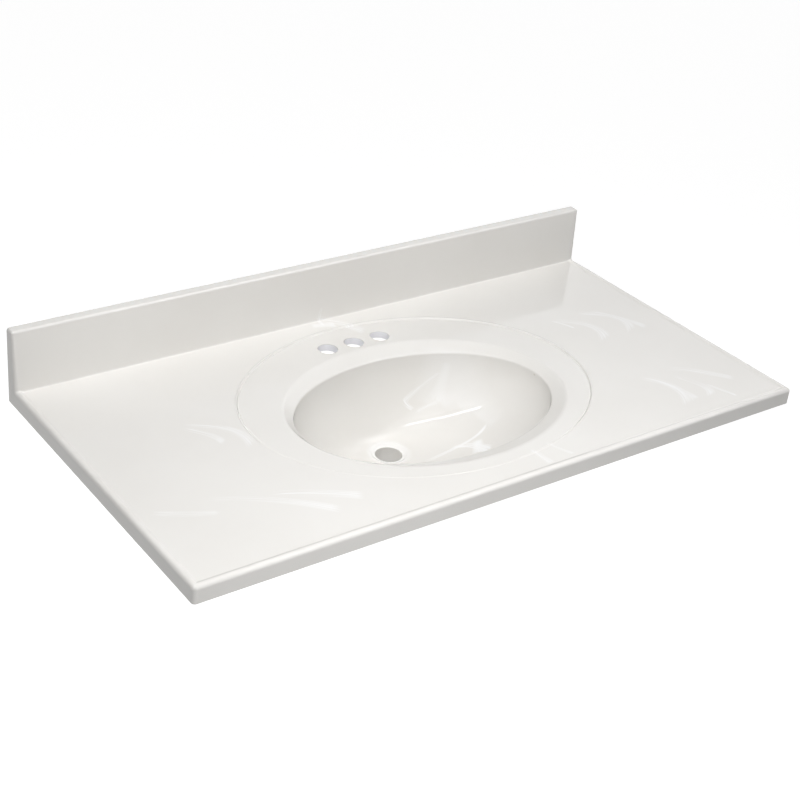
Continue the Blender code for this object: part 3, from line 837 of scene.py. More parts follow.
def make_side_edge(name, side):
    """From the mitre to the wall; behind the backsplash's front only the lower half goes on."""
    shape = bmesh.new()
    outlines = corner_outlines(lambda end, front, z: (side * (HALF_WIDTH - front), end - TOP_DEPTH, z))
    outlines.append([(x, SPLASH_LINE_Y, z) for x, y, z in outlines[-1]])
    rings = rings_of(shape, outlines)
    skin(shape, rings, section_finish)
    last = rings[-1]
    seat_corner = SECTION.index((0.0, SEAT_TOP))
    lower = last[:seat_corner + 1] + last[SEAT_START:]
    lid(shape, rings[0], BACK)
    lid(shape, last[seat_corner:SEAT_START + 1], BACK)
    at_wall = [shape.verts.new((vert.co.x, 0.0, vert.co.z)) for vert in lower]
    skin(shape, [lower, at_wall], lambda index: FACE if 1 <= index < seat_corner else BACK)
    lid(shape, at_wall, BACK)
    return finished(name, shape, [marble, cast_back])


left_edge_face = make_side_edge("left_edge_face", -1)
right_edge_face = make_side_edge("right_edge_face", 1)
stand_for(left_edge_face, "left_edge")
stand_for(right_edge_face, "right_edge")

# %% [markdown]
# ## The backsplash
#
# The backsplash leans back a little, has a cove at its foot and a rounded top. Its ends are
# rounded off too, and that rounding runs on without a break from the lip of the deck, up the
# front corner and along the top. So the section is drawn once, as a path with the cove and the
# top round in it, and at the ends the whole path is drawn inwards as a quarter circle.

# %% Backsplash
SPLASH_LEAN = math.atan(
    (SPLASH_FOOT_THICKNESS - SPLASH_TOP_THICKNESS) / (SPLASH_TOP - SLAB_TOP - SPLASH_COVE)
)


def splash_face_y(height):
    """Where the leaning front face stands at a height."""
    return -SPLASH_FOOT_THICKNESS + (height - SLAB_TOP - SPLASH_COVE) * math.tan(SPLASH_LEAN)


def splash_section(foot_height, inset_share):
    """The section as (y, z, end rounding) from the bottom over the top and down the back."""
    low_inset = EDGE_ROUND * inset_share
    high_inset = SPLASH_ROUND * inset_share
    cove = COVE_ROUND
    cove_y = splash_face_y(foot_height + cove) - cove / math.cos(SPLASH_LEAN)
    cove_arc = arc((cove_y, foot_height + cove), cove + low_inset, -QUARTER_TURN, -SPLASH_LEAN, COVE_STEPS)
    round_z = SPLASH_TOP - SPLASH_ROUND
    round_y = splash_face_y(round_z) + SPLASH_ROUND / math.cos(SPLASH_LEAN)
    start = math.pi - SPLASH_LEAN
    round_arc = arc((round_y, round_z), SPLASH_ROUND - high_inset, start, QUARTER_TURN, ROUND_STEPS)
    lean = (math.sin(SPLASH_LEAN) * STRIP * 2, math.cos(SPLASH_LEAN) * STRIP * 2)
    top = SPLASH_TOP - high_inset
    back_centre = (-SPLASH_BACK_ROUND, top - SPLASH_BACK_ROUND)
    back_arc = arc(back_centre, SPLASH_BACK_ROUND, QUARTER_TURN, 0.0, ROUND_STEPS // 2)
    foot = foot_height - low_inset
    points = [(SPLASH_LINE_Y, SEAT_TOP, EDGE_ROUND), (SPLASH_LINE_Y, foot, EDGE_ROUND)]
    points += [(y, z, EDGE_ROUND) for y, z in cove_arc]
    points.append((cove_arc[-1][0] + lean[0], cove_arc[-1][1] + lean[1], EDGE_ROUND))
    points.append((round_arc[0][0] - lean[0], round_arc[0][1] - lean[1], SPLASH_ROUND))
    points += [(y, z, SPLASH_ROUND) for y, z in round_arc]
    points.append((round_y + STRIP, top, SPLASH_ROUND))
    points.append((-SPLASH_BACK_ROUND - STRIP, top, SPLASH_ROUND))
    points += [(y, z, SPLASH_ROUND) for y, z in back_arc]
    back_start = len(points)
    points.append((0.0, top - SPLASH_BACK_ROUND - STRIP, SPLASH_ROUND))
    points.append((0.0, SEAT_TOP, SPLASH_ROUND))
    return points, back_start


def make_backsplash():
    """The section is drawn inwards round the left end and along the lip's fall, then mirrored."""
    shape = bmesh.new()
    left = []
    for share in shares(ROUND_STEPS):
        turn = QUARTER_TURN * share
        points, back_start = splash_section(EDGE_TOP, 1 - math.sin(turn))
        left.append([(-HALF_WIDTH + r * (1 - math.cos(turn)), y, z) for y, z, r in points])
    for inward in fall_stations() + [LIP_WIDTH + STRIP]:
        points, back_start = splash_section(lip_fall(inward), 0.0)
        left.append([(-HALF_WIDTH + inward, y, z) for y, z, r in points])
    right = [[(-x, y, z) for x, y, z in outline] for outline in reversed(left)]
    rings = rings_of(shape, left + right)
    skin(shape, rings, lambda index: FACE if 1 <= index < back_start else BACK)
    lid(shape, rings[0], FACE)
    lid(shape, rings[-1], FACE)
    return finished("backsplash_face", shape, [marble, cast_back])


backsplash_face = make_backsplash()
stand_for(backsplash_face, "backsplash")

# %% [markdown]
# ## The deck
#
# The deck is flat, with an oval opening. The fine step round the opening isn't a sharp edge on
# the real top but a soft S of nearly four millimetres, with a low crest outside it and a crease
# at its foot. They catch the light as the fine line that the photograph shows there. Half of the
# step lies on the deck and half on the bowl's ledge. The flats are filled between their outlines,
# which keeps them truly flat.

# %% Ovals and the step
STEP_HALF_WIDTH = 0.0018
STEP_CREASE = 0.0005
STEP_FOOT_SHARE = 0.75
STEP_CREST = 0.0006
STEP_CREST_WIDTH = 0.0030


def oval(centre_y, half_width, half_depth, height, sides=OVAL_SIDES):
    """Points of a level ellipse with its centre on x = 0."""
    turns = [2 * math.pi * side / sides for side in range(sides)]
    return [
        (half_width * math.cos(turn), centre_y + half_depth * math.sin(turn), height)
        for turn in turns
    ]


def ledge_oval(inset, height):
    return oval(LEDGE_Y, LEDGE_HALF_WIDTH - inset, LEDGE_HALF_DEPTH - inset, height, LEDGE_SIDES)


def crest_rings():
    """Insets and heights of the low crest that runs round outside the step."""
    return [
        (-STEP_HALF_WIDTH - STEP_CREST_WIDTH * (1 - share), SLAB_TOP + STEP_CREST * smooth(share))
        for share in shares(STEP_STEPS)
    ]


def step_rings(first, last):
    """Insets and heights of the step and its crease, between two shares of its width."""
    rings = []
    for part in shares(STEP_STEPS):
        share = first + (last - first) * part
        fall = smooth(min(share / STEP_FOOT_SHARE, 1))
        rise = smooth(max(share - STEP_FOOT_SHARE, 0) / (1 - STEP_FOOT_SHARE))
        drop = (STEP_CREST + SLAB_TOP - LEDGE_TOP + STEP_CREASE) * fall - STEP_CREASE * rise
        rings.append((STEP_HALF_WIDTH * (2 * share - 1), SLAB_TOP + STEP_CREST - drop))
    return rings


def ledge_rings(shape, section):
    """Rings of the ledge's oval at these insets and heights."""
    return rings_of(shape, [ledge_oval(*station) for station in section])


def fill_flat(shape, loops, finish):
    """Fills the flat region between closed loops of vertices, the first of them outside."""
    edges = []
    for loop in loops:
        for pair in zip(loop, loop[1:] + loop[:1]):
            edges.append(shape.edges.get(pair) or shape.edges.new(pair))
    made = bmesh.ops.triangle_fill(shape, use_beauty=True, use_dissolve=False, edges=edges)
    for item in made["geom"]:
        if isinstance(item, bmesh.types.BMFace):
            item.material_index = finish


# %% Deck


def make_deck():
    """The slab, with the outer half of the step at its opening and a lap for the bowl under it."""
    shape = bmesh.new()
    half = HALF_WIDTH - LIP_WIDTH
    front = -TOP_DEPTH + LIP_WIDTH
    corners = [(-half, front), (half, front), (half, SPLASH_LINE_Y), (-half, SPLASH_LINE_Y)]
    top, bottom = rings_of(shape, [[(x, y, z) for x, y in corners] for z in (SLAB_TOP, SLAB_BOTTOM)])
    skin(shape, [top, bottom], BACK)
    section = [(-STEP_HALF_WIDTH - STEP_CREST_WIDTH - STRIP, SLAB_TOP)]
    section += crest_rings() + step_rings(0.0, HALF)[1:]
    rings = ledge_rings(shape, section)
    skin(shape, rings, FACE)
    shoulder = LEDGE_TOP - LAP_THICKNESS - BOND_GAP
    section = [(0.0, shoulder), (LAP_WIDTH, shoulder), (LAP_WIDTH, SLAB_BOTTOM)]
    hidden = rings[-1:] + ledge_rings(shape, section)
    skin(shape, hidden, BACK)
    fill_flat(shape, [top, rings[0]], FACE)
    fill_flat(shape, [bottom, hidden[-1]], BACK)
    return finished("deck_face", shape, [marble, cast_back])


deck_face = make_deck()
stand_for(deck_face, "deck")

# %% [markdown]
# ## The bowl's wall, by a rule
#
# Seen from above each level of the bowl is an ellipse, and from the rim to the waste it shrinks
# and moves back by one rule. That is a job for Geometry Nodes: a grid of rows and columns is
# bent into place by the row's and the column's number, and every size is a named input.

# %% Geometry Nodes for the bowl's wall
GEOMETRY = "NodeSocketGeometry"


def geometry_tree(name, inputs):
    """A Geometry Nodes tree for one shape, its inputs as wires, and its end."""
    return group_tree(name, "GeometryNodeTree", inputs, {"Geometry": GEOMETRY})


def close_tree(end, geometry, finish):
    """The usual end of a tree: realized, merged along its seams, and with its finish."""
    tree = geometry.tree
    whole = wire_from(tree, "GeometryNodeRealizeInstances", {"Geometry": geometry})
    inputs = {"Geometry": whole, "Distance": MERGE_DISTANCE}
    merged = wire_from(tree, "GeometryNodeMergeByDistance", inputs)
    inputs = {"Geometry": merged, "Material": finish}
    feed(end, {"Geometry": wire_from(tree, "GeometryNodeSetMaterial", inputs)})


def grid_fields(sides, steps):
    """A grid, how far round each of its points will lie, and the number of the point's row."""
    rows = steps + 1.0
    inputs = {"Vertices X": sides + 1.0, "Vertices Y": rows}
    grid = wire_from(sides.tree, "GeometryNodeMeshGrid", inputs, "Mesh")
    index = wire_from(sides.tree, "GeometryNodeInputIndex")
    column = calc("FLOOR", (index + HALF) / rows)
    return grid, column / sides * (2 * math.pi), calc("MODULO", index, rows)


def bent(grid, around, half_width, half_depth, centre, height):
    """The grid with each row bent to an ellipse at its height."""
    x = half_width * calc("COSINE", around)
    y = half_depth * calc("SINE", around) + centre
    inputs = {"Geometry": grid, "Position": point(x, y, height)}
    return wire_from(grid.tree, "GeometryNodeSetPosition", inputs)


def wall_tree(values):
    """The bowl's wall: each row is an ellipse, from the rim down to the edge of the dish."""
    tree, size, end = geometry_tree("oval_bowl_wall", values)
    grid, around, row = grid_fields(size["Sides"], size["Steps"])
    down = row / size["Steps"] * QUARTER_TURN
    spread = calc("MAXIMUM", calc("COSINE", down), 0.0)
    share = spread ** (2.0 / size["Wall power"])
    depth = calc("SINE", down) ** (2.0 / size["Floor power"])
    half_width = between(size["Dish radius"], size["Rim half width"], share)
    half_depth = between(size["Dish radius"], size["Rim half depth"], share)
    centre = between(size["Waste centre"], size["Rim centre"], share)
    level = between(size["Rim level"], size["Floor level"], depth)
    close_tree(end, bent(grid, around, half_width, half_depth, centre, level), size["Finish"])
    return tree


def plain_mesh(thing):
    """What an object's modifiers make of its mesh."""
    depsgraph = bpy.context.evaluated_depsgraph_get()
    return bpy.data.meshes.new_from_object(thing.evaluated_get(depsgraph), depsgraph=depsgraph)


def made_by(make_tree, name, values, source=None):
    """The plain mesh that a tree makes with these values; the carrier object is removed."""
    tree = make_tree(values)
    carrier = add_object(name + "_carrier", source or bpy.data.meshes.new(name + "_carrier"))
    maker = carrier.modifiers.new("maker", "NODES")
    maker.node_group = tree
    for item in tree.interface.items_tree:
        if item.in_out == "INPUT" and item.name in values:
            maker[item.identifier] = values[item.name]
    made = plain_mesh(carrier)
    made.name = name
    bpy.data.objects.remove(carrier, do_unlink=True)
    print(f"{name}: {len(made.vertices)} points, {len(made.polygons)} faces")
    return made


wall_mesh = made_by(wall_tree, "bowl_wall", {
    "Rim half width": RIM_HALF_WIDTH,
    "Rim half depth": RIM_HALF_DEPTH,
    "Rim centre": RIM_Y,
    "Waste centre": WASTE_Y,
    "Dish radius": DISH_RADIUS,
    "Rim level": RIM_TOP,
    "Floor level": BOWL_FLOOR,
    "Wall power": BOWL_WALL_POWER,
    "Floor power": BOWL_FLOOR_POWER,
    "Sides": OVAL_SIDES,
    "Steps": WALL_STEPS,
    "Finish": marble,
})

# %% [markdown]
# ## The tap holes, repeated
#
# Three equal holes stand in a row. One liner, a softened rim and a plain wall, is bent out of a
# grid and set on each point of a line. The rims are a little round and not knife sharp, and the
# walls get the drilled finish, whose pale colour is partly painted light, in the next step.

# %% Geometry Nodes for the tap holes


def hole_row_tree(values):
    """A row of hole liners: a rounded rim, then a straight wall to the underside."""
    tree, size, end = geometry_tree("tap_hole_row", values)
    steps = size["Round steps"]
    grid, around, row = grid_fields(size["Sides"], steps + 1.0)
    turn = calc("MINIMUM", row / steps, 1.0) * QUARTER_TURN
    radius = size["Rim round"] * (1.0 - calc("SINE", turn)) + size["Radius"]
    nose = size["Top level"] - size["Rim round"] * (1.0 - calc("COSINE", turn))
    at_bottom = calc("GREATER_THAN", row, steps + HALF)
    height = between(nose, size["Bottom level"], at_bottom)
    liner = bent(grid, around, radius, radius, 0.0, height)
    first = (size["Count"] - 1.0) * size["Spacing"] * -HALF
    inputs = {
        "Count": size["Count"],
        "Start Location": point(first, size["Row y"]),
        "Offset": point(size["Spacing"], 0.0),
    }
    line = wire_from(tree, "GeometryNodeMeshLine", inputs, "Mesh")
    liners = wire_from(tree, "GeometryNodeInstanceOnPoints", {"Points": line, "Instance": liner})
    close_tree(end, liners, size["Finish"])
    return tree


LEDGE_BOTTOM = LEDGE_TOP - LEDGE_THICKNESS
holes_mesh = made_by(hole_row_tree, "tap_holes", {
    "Radius": TAP_HOLE_RADIUS,
    "Rim round": TAP_HOLE_ROUND,
    "Spacing": TAP_HOLE_SPACING,
    "Row y": TAP_HOLE_Y,
    "Top level": LEDGE_TOP,
    "Bottom level": LEDGE_BOTTOM,
    "Count": TAP_HOLE_COUNT,
    "Sides": HOLE_SIDES,
    "Round steps": ROUND_STEPS,
    "Finish": marble,
})

# %% [markdown]
# ## The bowl in one piece
#
# The wall and the hole liners now meet the rest of the bowl: the inner half of the soft step,
# the flat ledge with the holes in it, the roll over the rim, the dished seat of the waste, the
# bore, and the rough back of the casting with its boss. The roll is an even slope with a tight
# edge. It reaches furthest at the front and is narrow at the sides, as the photograph shows.

# %% Rings of the bowl


def roll_oval(spread, height):
    """A level oval of the roll, which reaches furthest at the front and least at the sides."""
    reach = RIM_FRONT_REACH / 2 * spread / RIM_ROLL
    half_width = RIM_HALF_WIDTH + spread * RIM_SIDE_SHARE
    return oval(RIM_Y - reach, half_width, RIM_HALF_DEPTH + spread + reach, height)


def roll_rings():
    """From the flat ledge a soft start, an even slope, a tight edge and a plumb end at the rim."""
    start = RIM_START_ROUND * math.tan(RIM_TILT / 2)
    slope_end = RIM_EDGE_ROUND * (1 - math.sin(RIM_TILT))
    slope_drop = (RIM_ROLL - start - slope_end) * math.tan(RIM_TILT)
    slope_turn = QUARTER_TURN + RIM_TILT
    section = arc((RIM_ROLL, -RIM_START_ROUND), RIM_START_ROUND, QUARTER_TURN, slope_turn, ROLL_STEPS)
    centre = (RIM_EDGE_ROUND, -slope_drop - RIM_EDGE_ROUND * math.cos(RIM_TILT))
    section += arc(centre, RIM_EDGE_ROUND, slope_turn, 2 * QUARTER_TURN, ROLL_STEPS)
    section.append((0.0, -RIM_DROP))
    return [roll_oval(spread, LEDGE_TOP + rise) for spread, rise in section]


def waste_rings():
    """From the floor down the dish, a soft S, to its seat and the rounded edge of the bore."""
    narrowing = SEAT_RADIUS - DISH_SPREAD - DISH_RADIUS
    section = [
        (DISH_RADIUS + narrowing * share, BOWL_FLOOR - DISH_DEPTH * smooth(share))
        for share in shares(DISH_STEPS)
    ]
    section.append((WASTE_RADIUS + BORE_ROUND + STRIP, WASTE_SEAT))
    centre = (WASTE_RADIUS + BORE_ROUND, WASTE_SEAT - BORE_ROUND)
    section += arc(centre, BORE_ROUND, QUARTER_TURN, 2 * QUARTER_TURN, DISH_STEPS)
    return [oval(WASTE_Y, radius, radius, height) for radius, height in section]


def wall_station(turn):
    """Centre, half width, half depth and height of the inner wall at a turn of its section."""
    share = max(math.cos(turn), 0.0) ** (2 / BOWL_WALL_POWER)
    depth = math.sin(turn) ** (2 / BOWL_FLOOR_POWER)
    return (
        WASTE_Y + (RIM_Y - WASTE_Y) * share,
        DISH_RADIUS + (RIM_HALF_WIDTH - DISH_RADIUS) * share,
        DISH_RADIUS + (RIM_HALF_DEPTH - DISH_RADIUS) * share,
        RIM_TOP + (BOWL_FLOOR - RIM_TOP) * depth,
    )


def outer_stations():
    """The back of the wall: each inner station moved out by the wall, as far as the boss."""
    inner = [wall_station(QUARTER_TURN * share) for share in shares(BACK_STEPS)]
    stations = []
    for before, here, after in zip(inner[:-2], inner[1:-1], inner[2:]):
        run = before[1] - after[1]
        drop = before[3] - after[3]
        length = math.hypot(run, drop)
        out = BOWL_WALL * drop / length
        down = BOWL_WALL * run / length
        centre, half_width, half_depth, height = here
        if half_depth + out - (WASTE_Y - centre) > BOSS_RADIUS:
            stations.append((centre, half_width + out, half_depth + out, height - down))
    return stations


def back_rings():
    """The rough back of the casting, from the bore's lower end up to the ledge's lap."""
    rings = [
        oval(WASTE_Y, WASTE_RADIUS, WASTE_RADIUS, BOSS_BOTTOM),
        oval(WASTE_Y, BOSS_RADIUS, BOSS_RADIUS, BOSS_BOTTOM),
        oval(WASTE_Y, BOSS_RADIUS, BOSS_RADIUS, WASTE_SEAT - BOWL_WALL),
    ]
    rings += [oval(*station) for station in reversed(outer_stations())]
    outer = (RIM_HALF_WIDTH + BOWL_WALL, RIM_HALF_DEPTH + BOWL_WALL)
    rings.append(oval(RIM_Y, *outer, LEDGE_BOTTOM))
    return rings


# %% Bowl


def add_mesh(shape, mesh, finish):
    """Adds a plain mesh to a bmesh, and gives its faces a finish."""
    first = len(shape.faces)
    shape.from_mesh(mesh)
    shape.faces.ensure_lookup_table()
    for face in shape.faces[first:]:
        face.material_index = finish


def hole_loops(shape, level):
    """The closed loops of the hole liners at one level, with one loop for each hole."""
    loops = []
    for index in range(TAP_HOLE_COUNT):
        middle = (index - (TAP_HOLE_COUNT - 1) / 2) * TAP_HOLE_SPACING
        at_level = [
            vert for vert in shape.verts
            if vert.is_boundary and abs(vert.co.z - level) < MERGE_DISTANCE
            and math.hypot(vert.co.x - middle, vert.co.y - TAP_HOLE_Y) < TAP_HOLE_SPACING / 2
        ]
        at_level.sort(key=lambda vert: math.atan2(vert.co.y - TAP_HOLE_Y, vert.co.x - middle))
        loops.append(at_level)
    return loops


def strip_round(shape, loop, finish):
    """A narrow flat strip outside a hole's loop; gives back the strip's outer loop."""
    middle = sum((vert.co for vert in loop), Vector()) / len(loop)
    outer = [shape.verts.new(vert.co + (vert.co - middle).normalized() * STRIP) for vert in loop]
    skin(shape, [loop, outer], finish)
    return outer


def make_bowl():
    """The hole liners first, then from the step over the rim to the waste, and up the back."""
    shape = bmesh.new()
    add_mesh(shape, holes_mesh, FACE)
    for face in shape.faces:
        if face.calc_center_median().z < LEDGE_TOP - TAP_HOLE_ROUND:
            face.material_index = CUT
    bmesh.ops.remove_doubles(shape, verts=shape.verts, dist=MERGE_DISTANCE)
    top_loops = [strip_round(shape, loop, FACE) for loop in hole_loops(shape, LEDGE_TOP)]
    low_loops = hole_loops(shape, LEDGE_BOTTOM)
    step = ledge_rings(shape, step_rings(HALF, 1.0) + [(STEP_HALF_WIDTH + STRIP, LEDGE_TOP)])
    skin(shape, step, FACE)
    roll = rings_of(shape, [roll_oval(RIM_ROLL + STRIP, LEDGE_TOP)] + roll_rings())
    skin(shape, roll, FACE)
    fill_flat(shape, [step[-1], roll[0]] + top_loops, FACE)
    add_mesh(shape, wall_mesh, FACE)
    waste = rings_of(shape, waste_rings())
    back = rings_of(shape, back_rings())
    skin(shape, waste + back[:1], FACE)
    skin(shape, back, BACK)
    lap_bottom = LEDGE_TOP - LAP_THICKNESS
    lap_inset = LAP_WIDTH + BOND_GAP
    lap = ledge_rings(shape, [(lap_inset, LEDGE_BOTTOM), (lap_inset, lap_bottom), (0.0, lap_bottom)])
    fill_flat(shape, [lap[0], back[-1]] + low_loops, BACK)
    skin(shape, lap + step[:1], BACK)
    return finished("bowl_face", shape, [marble, cast_back, drilled_and_painted_light])


bowl_face = make_bowl()

# %% [markdown]
# ## The overflow
#
# A real basin needs a way out for water that rises too high. Here it is a flat oval slot in the
# front wall with a plastic sleeve in it, and a flat moulded duct that runs down the back of the
# wall and plugs into the boss of the waste. The slot and the duct's socket are cut with an exact
# Boolean, since they cross the curved wall at a slant.

# %% Where the overflow runs
BOSS_FRONT = WASTE_Y - BOSS_RADIUS


def front_line():
    """The rough back of the bowl's front wall, as (y, z), from the ledge down to the boss."""
    return [(centre - half_depth, height) for centre, _, half_depth, height in outer_stations()]


def duct_path():
    """The duct's middle line as (y, z): along the wall, then level into the boss."""
    top = OVERFLOW_LEVEL + SLEEVE_HALF_HEIGHT + DUCT_HEADROOM
    away = BOND_GAP + DUCT_DEPTH / 2
    wall = front_line()
    path = []
    for before, here, after in zip(wall[:-2], wall[1:-1], wall[2:]):
        run = after[0] - before[0]
        rise = after[1] - before[1]
        length = math.hypot(run, rise)
        if here[1] < top:
            path.append((here[0] + away * rise / length, here[1] - away * run / length))
    level = WASTE_SEAT - BOWL_WALL - DUCT_UNDER_FLOOR - away
    path = [(y, z) for y, z in path if y < BOSS_FRONT - DUCT_DEPTH and z > level]
    path.append((BOSS_FRONT - DUCT_DEPTH * DUCT_BEND_SHARE, level))
    path.append((BOSS_FRONT + DUCT_PLUG, level))
    return path


OVERFLOW_PATH = duct_path()


def wall_front_y(height):
    """Where the inner side of the front wall stands at a height."""
    fall = (RIM_TOP - height) / (RIM_TOP - BOWL_FLOOR)
    share = (1 - fall ** BOWL_FLOOR_POWER) ** (1 / BOWL_WALL_POWER)
    centre = WASTE_Y + (RIM_Y - WASTE_Y) * share
    return centre - DISH_RADIUS - (RIM_HALF_DEPTH - DISH_RADIUS) * share


def path_y(height):
    """Where the duct's middle line is at a height."""
    for (y, z), (next_y, next_z) in zip(OVERFLOW_PATH[:-1], OVERFLOW_PATH[1:]):
        if z >= height >= next_z:
            return y + (next_y - y) * (z - height) / (z - next_z)
    return OVERFLOW_PATH[0][0]


SLOT_WALL_Y = wall_front_y(OVERFLOW_LEVEL)
SLOT_DUCT_Y = path_y(OVERFLOW_LEVEL)
print(f"overflow from y {SLOT_WALL_Y:.4f} to {SLOT_DUCT_Y:.4f} m, duct of {len(OVERFLOW_PATH)} points")

# %% The cuts for the overflow
CUT_OVERRUN = 0.01


def slot_outline(half_width, half_height, level=OVERFLOW_LEVEL):
    """An upright slot with round ends, as (x, z)."""
    reach = half_width - half_height
    points = arc((reach, level), half_height, QUARTER_TURN, -QUARTER_TURN, SLOT_END_STEPS)
    points += arc((-reach, level), half_height, -QUARTER_TURN, -3 * QUARTER_TURN, SLOT_END_STEPS)
    return points


def prism(name, outline, near_y, far_y):
    """A closed solid with the same outline of (x, z) at both ends."""
    shape = bmesh.new()
    rings = rings_of(shape, [[(x, y, z) for x, z in outline] for y in (near_y, far_y)])
    skin(shape, rings, BACK)
    for ring in rings:
        lid(shape, ring, BACK)
    return finished(name, shape, [marble, cast_back])


def cut(piece, tool):
    """Takes the tool's shape out of the piece, and the tool out of the scene."""
    knife = piece.modifiers.new("cut", "BOOLEAN")
    knife.object = tool
    knife.solver = "EXACT"
    made = plain_mesh(piece)
    piece.modifiers.clear()
    old = piece.data
    piece.data = made
    bpy.data.meshes.remove(old)
    made.name = piece.name
    made.set_sharp_from_angle(angle=SHARP_ANGLE)
    bpy.data.objects.remove(tool, do_unlink=True)
    print(f"{piece.name}: {len(made.polygons)} faces after the cut")


def slot_tool(name):
    """The sleeve's slot, from the duct's middle line through the wall into the bowl."""
    outline = slot_outline(SLEEVE_HALF_WIDTH + BOND_GAP, SLEEVE_HALF_HEIGHT + BOND_GAP)
    inner_y = wall_front_y(OVERFLOW_LEVEL - SLEEVE_HALF_HEIGHT) + CUT_OVERRUN
    return prism(name, outline, SLOT_DUCT_Y, inner_y)


def socket_tool(name, half_width, half_height, start_y, end_y):
    """A rectangular cut along the duct's last stretch, into the boss."""
    low = OVERFLOW_PATH[-1][1] - half_height
    high = OVERFLOW_PATH[-1][1] + half_height
    outline = [(-half_width, low), (half_width, low), (half_width, high), (-half_width, high)]
    return prism(name, outline, start_y, end_y)


cut(bowl_face, slot_tool("slot_tool"))
cut(bowl_face, socket_tool(
    "socket_tool",
    DUCT_WIDTH / 2 + BOND_GAP,
    DUCT_DEPTH / 2 + BOND_GAP,
    BOSS_FRONT - DUCT_DEPTH,
    BOSS_FRONT + DUCT_PLUG + BOND_GAP,
))
cut(bowl_face, socket_tool(
    "bore_way_tool",
    DUCT_WIDTH / 2 - DUCT_WALL,
    DUCT_DEPTH / 2 - DUCT_WALL,
    BOSS_FRONT,
    WASTE_Y,
))
stand_for(bowl_face, "bowl")

# %% [markdown]
# ## The duct, along a path
#
# A profile that follows a path is the other classic for Geometry Nodes. The path is a line of
# points; the tree makes it a curve and sweeps a rectangle with rounded corners along it. Curve
# to Mesh turns the profile with the path by itself, where a bmesh sweep would need that worked
# out. A Solidify modifier after the tree gives the moulded wall its thickness.

# %% Geometry Nodes for the duct


def duct_tree(values):
    """A rounded rectangle swept along the carrier's line of points."""
    tree, size, end = geometry_tree("overflow_duct", {"Geometry": GEOMETRY, **values})
    path = wire_from(tree, "GeometryNodeMeshToCurve", {"Mesh": size["Geometry"]})
    inputs = {"Width": size["Width"], "Height": size["Depth"]}
    outline = wire_from(tree, "GeometryNodeCurvePrimitiveQuadrilateral", inputs)
    inputs = {"Curve": outline, "Radius": size["Corner"], "Count": size["Corner points"]}
    rounded = wire_from(tree, "GeometryNodeFilletCurve", inputs, mode="POLY")
    swept = wire_from(tree, "GeometryNodeCurveToMesh", {"Curve": path, "Profile Curve": rounded})
    close_tree(end, swept, size["Finish"])
    return tree


# %% Duct


def line_mesh(name, points):
    """A line of points joined by edges."""
    mesh = bpy.data.meshes.new(name)
    mesh.from_pydata(points, [(i, i + 1) for i in range(len(points) - 1)], [])
    return mesh


def make_duct():
    """The swept profile, closed at its top, with a wall; the window for the sleeve is cut later."""
    path = line_mesh("duct_path", [(0.0, y, z) for y, z in OVERFLOW_PATH])
    swept = made_by(duct_tree, "overflow_duct_skin", {
        "Width": DUCT_WIDTH,
        "Depth": DUCT_DEPTH,
        "Corner": DUCT_CORNER,
        "Corner points": DUCT_CORNER_STEPS,
        "Finish": plastic,
    }, path)
    shape = bmesh.new()
    shape.from_mesh(swept)
    rim = [edge for edge in shape.edges if edge.is_boundary]
    top = [edge for edge in rim if min(vert.co.z for vert in edge.verts) > OVERFLOW_LEVEL]
    bmesh.ops.edgeloop_fill(shape, edges=top)
    duct = finished("overflow_duct_face", shape, [plastic])
    wall = duct.modifiers.new("wall", "SOLIDIFY")
    wall.thickness = DUCT_WALL
    wall.offset = -1.0
    wall.use_even_offset = True
    wall.use_rim = True
    return duct


overflow_duct_face = make_duct()
cut(overflow_duct_face, slot_tool("window_tool"))
stand_for(overflow_duct_face, "overflow_duct")

# %% [markdown]
# The sleeve lines the slot. Its inner end follows the slope of the bowl's wall and has a rounded
# rim, so that nothing catches on it when the bowl is wiped.

# %% Sleeve


def make_sleeve():
    """Its outside, the rounded rim that follows the bowl's wall, and its inside."""
    shape = bmesh.new()
    lip = SLEEVE_WALL / 2
    low_z = OVERFLOW_LEVEL - SLEEVE_HALF_HEIGHT
    low_y = wall_front_y(low_z)
    slope = (wall_front_y(OVERFLOW_LEVEL + SLEEVE_HALF_HEIGHT) - low_y) / (2 * SLEEVE_HALF_HEIGHT)

    def rim(inset, behind):
        points = slot_outline(SLEEVE_HALF_WIDTH - inset, SLEEVE_HALF_HEIGHT - inset)
        base = low_y - SLEEVE_SINK - behind
        return [(x, base + slope * (z - low_z), z) for x, z in points]

    def duct_end(inset):
        points = slot_outline(SLEEVE_HALF_WIDTH - inset, SLEEVE_HALF_HEIGHT - inset)
        return [(x, SLOT_DUCT_Y, z) for x, z in points]

    turns = [math.pi * share for share in shares(DISH_STEPS)]
    outlines = [duct_end(0.0)]
    outlines += [rim(lip * (1 - math.cos(turn)), lip * (1 - math.sin(turn))) for turn in turns]
    outlines.append(duct_end(SLEEVE_WALL))
    rings = rings_of(shape, outlines)
    skin(shape, rings + rings[:1], FACE)
    return finished("overflow_inlet_face", shape, [plastic])


overflow_inlet_face = make_sleeve()
stand_for(overflow_inlet_face, "overflow_inlet")

# %% [markdown]
# ## The bearing strip
#
# The strip under the back of the deck hasn't been sprayed with gel coat, and nothing of it shows
# in use. Its CAD shape is right as it is, so it only gets the look of the bare casting.

# %% Bearing strip
rear_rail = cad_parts["rear_rail"]
rear_rail.data.materials.clear()
rear_rail.data.materials.append(cast_back)

# %% [markdown]
# ## The studio floor
#
# The floor lies well below the top, where a cabinet's foot would be. The photograph's background
# is pure white, so the floor glows white to the camera and to mirror rays. To diffuse rays it
# glows less, as a white floor that sends some of the lamps' light back up. From below it is
# clear, so that the underside can be looked at.

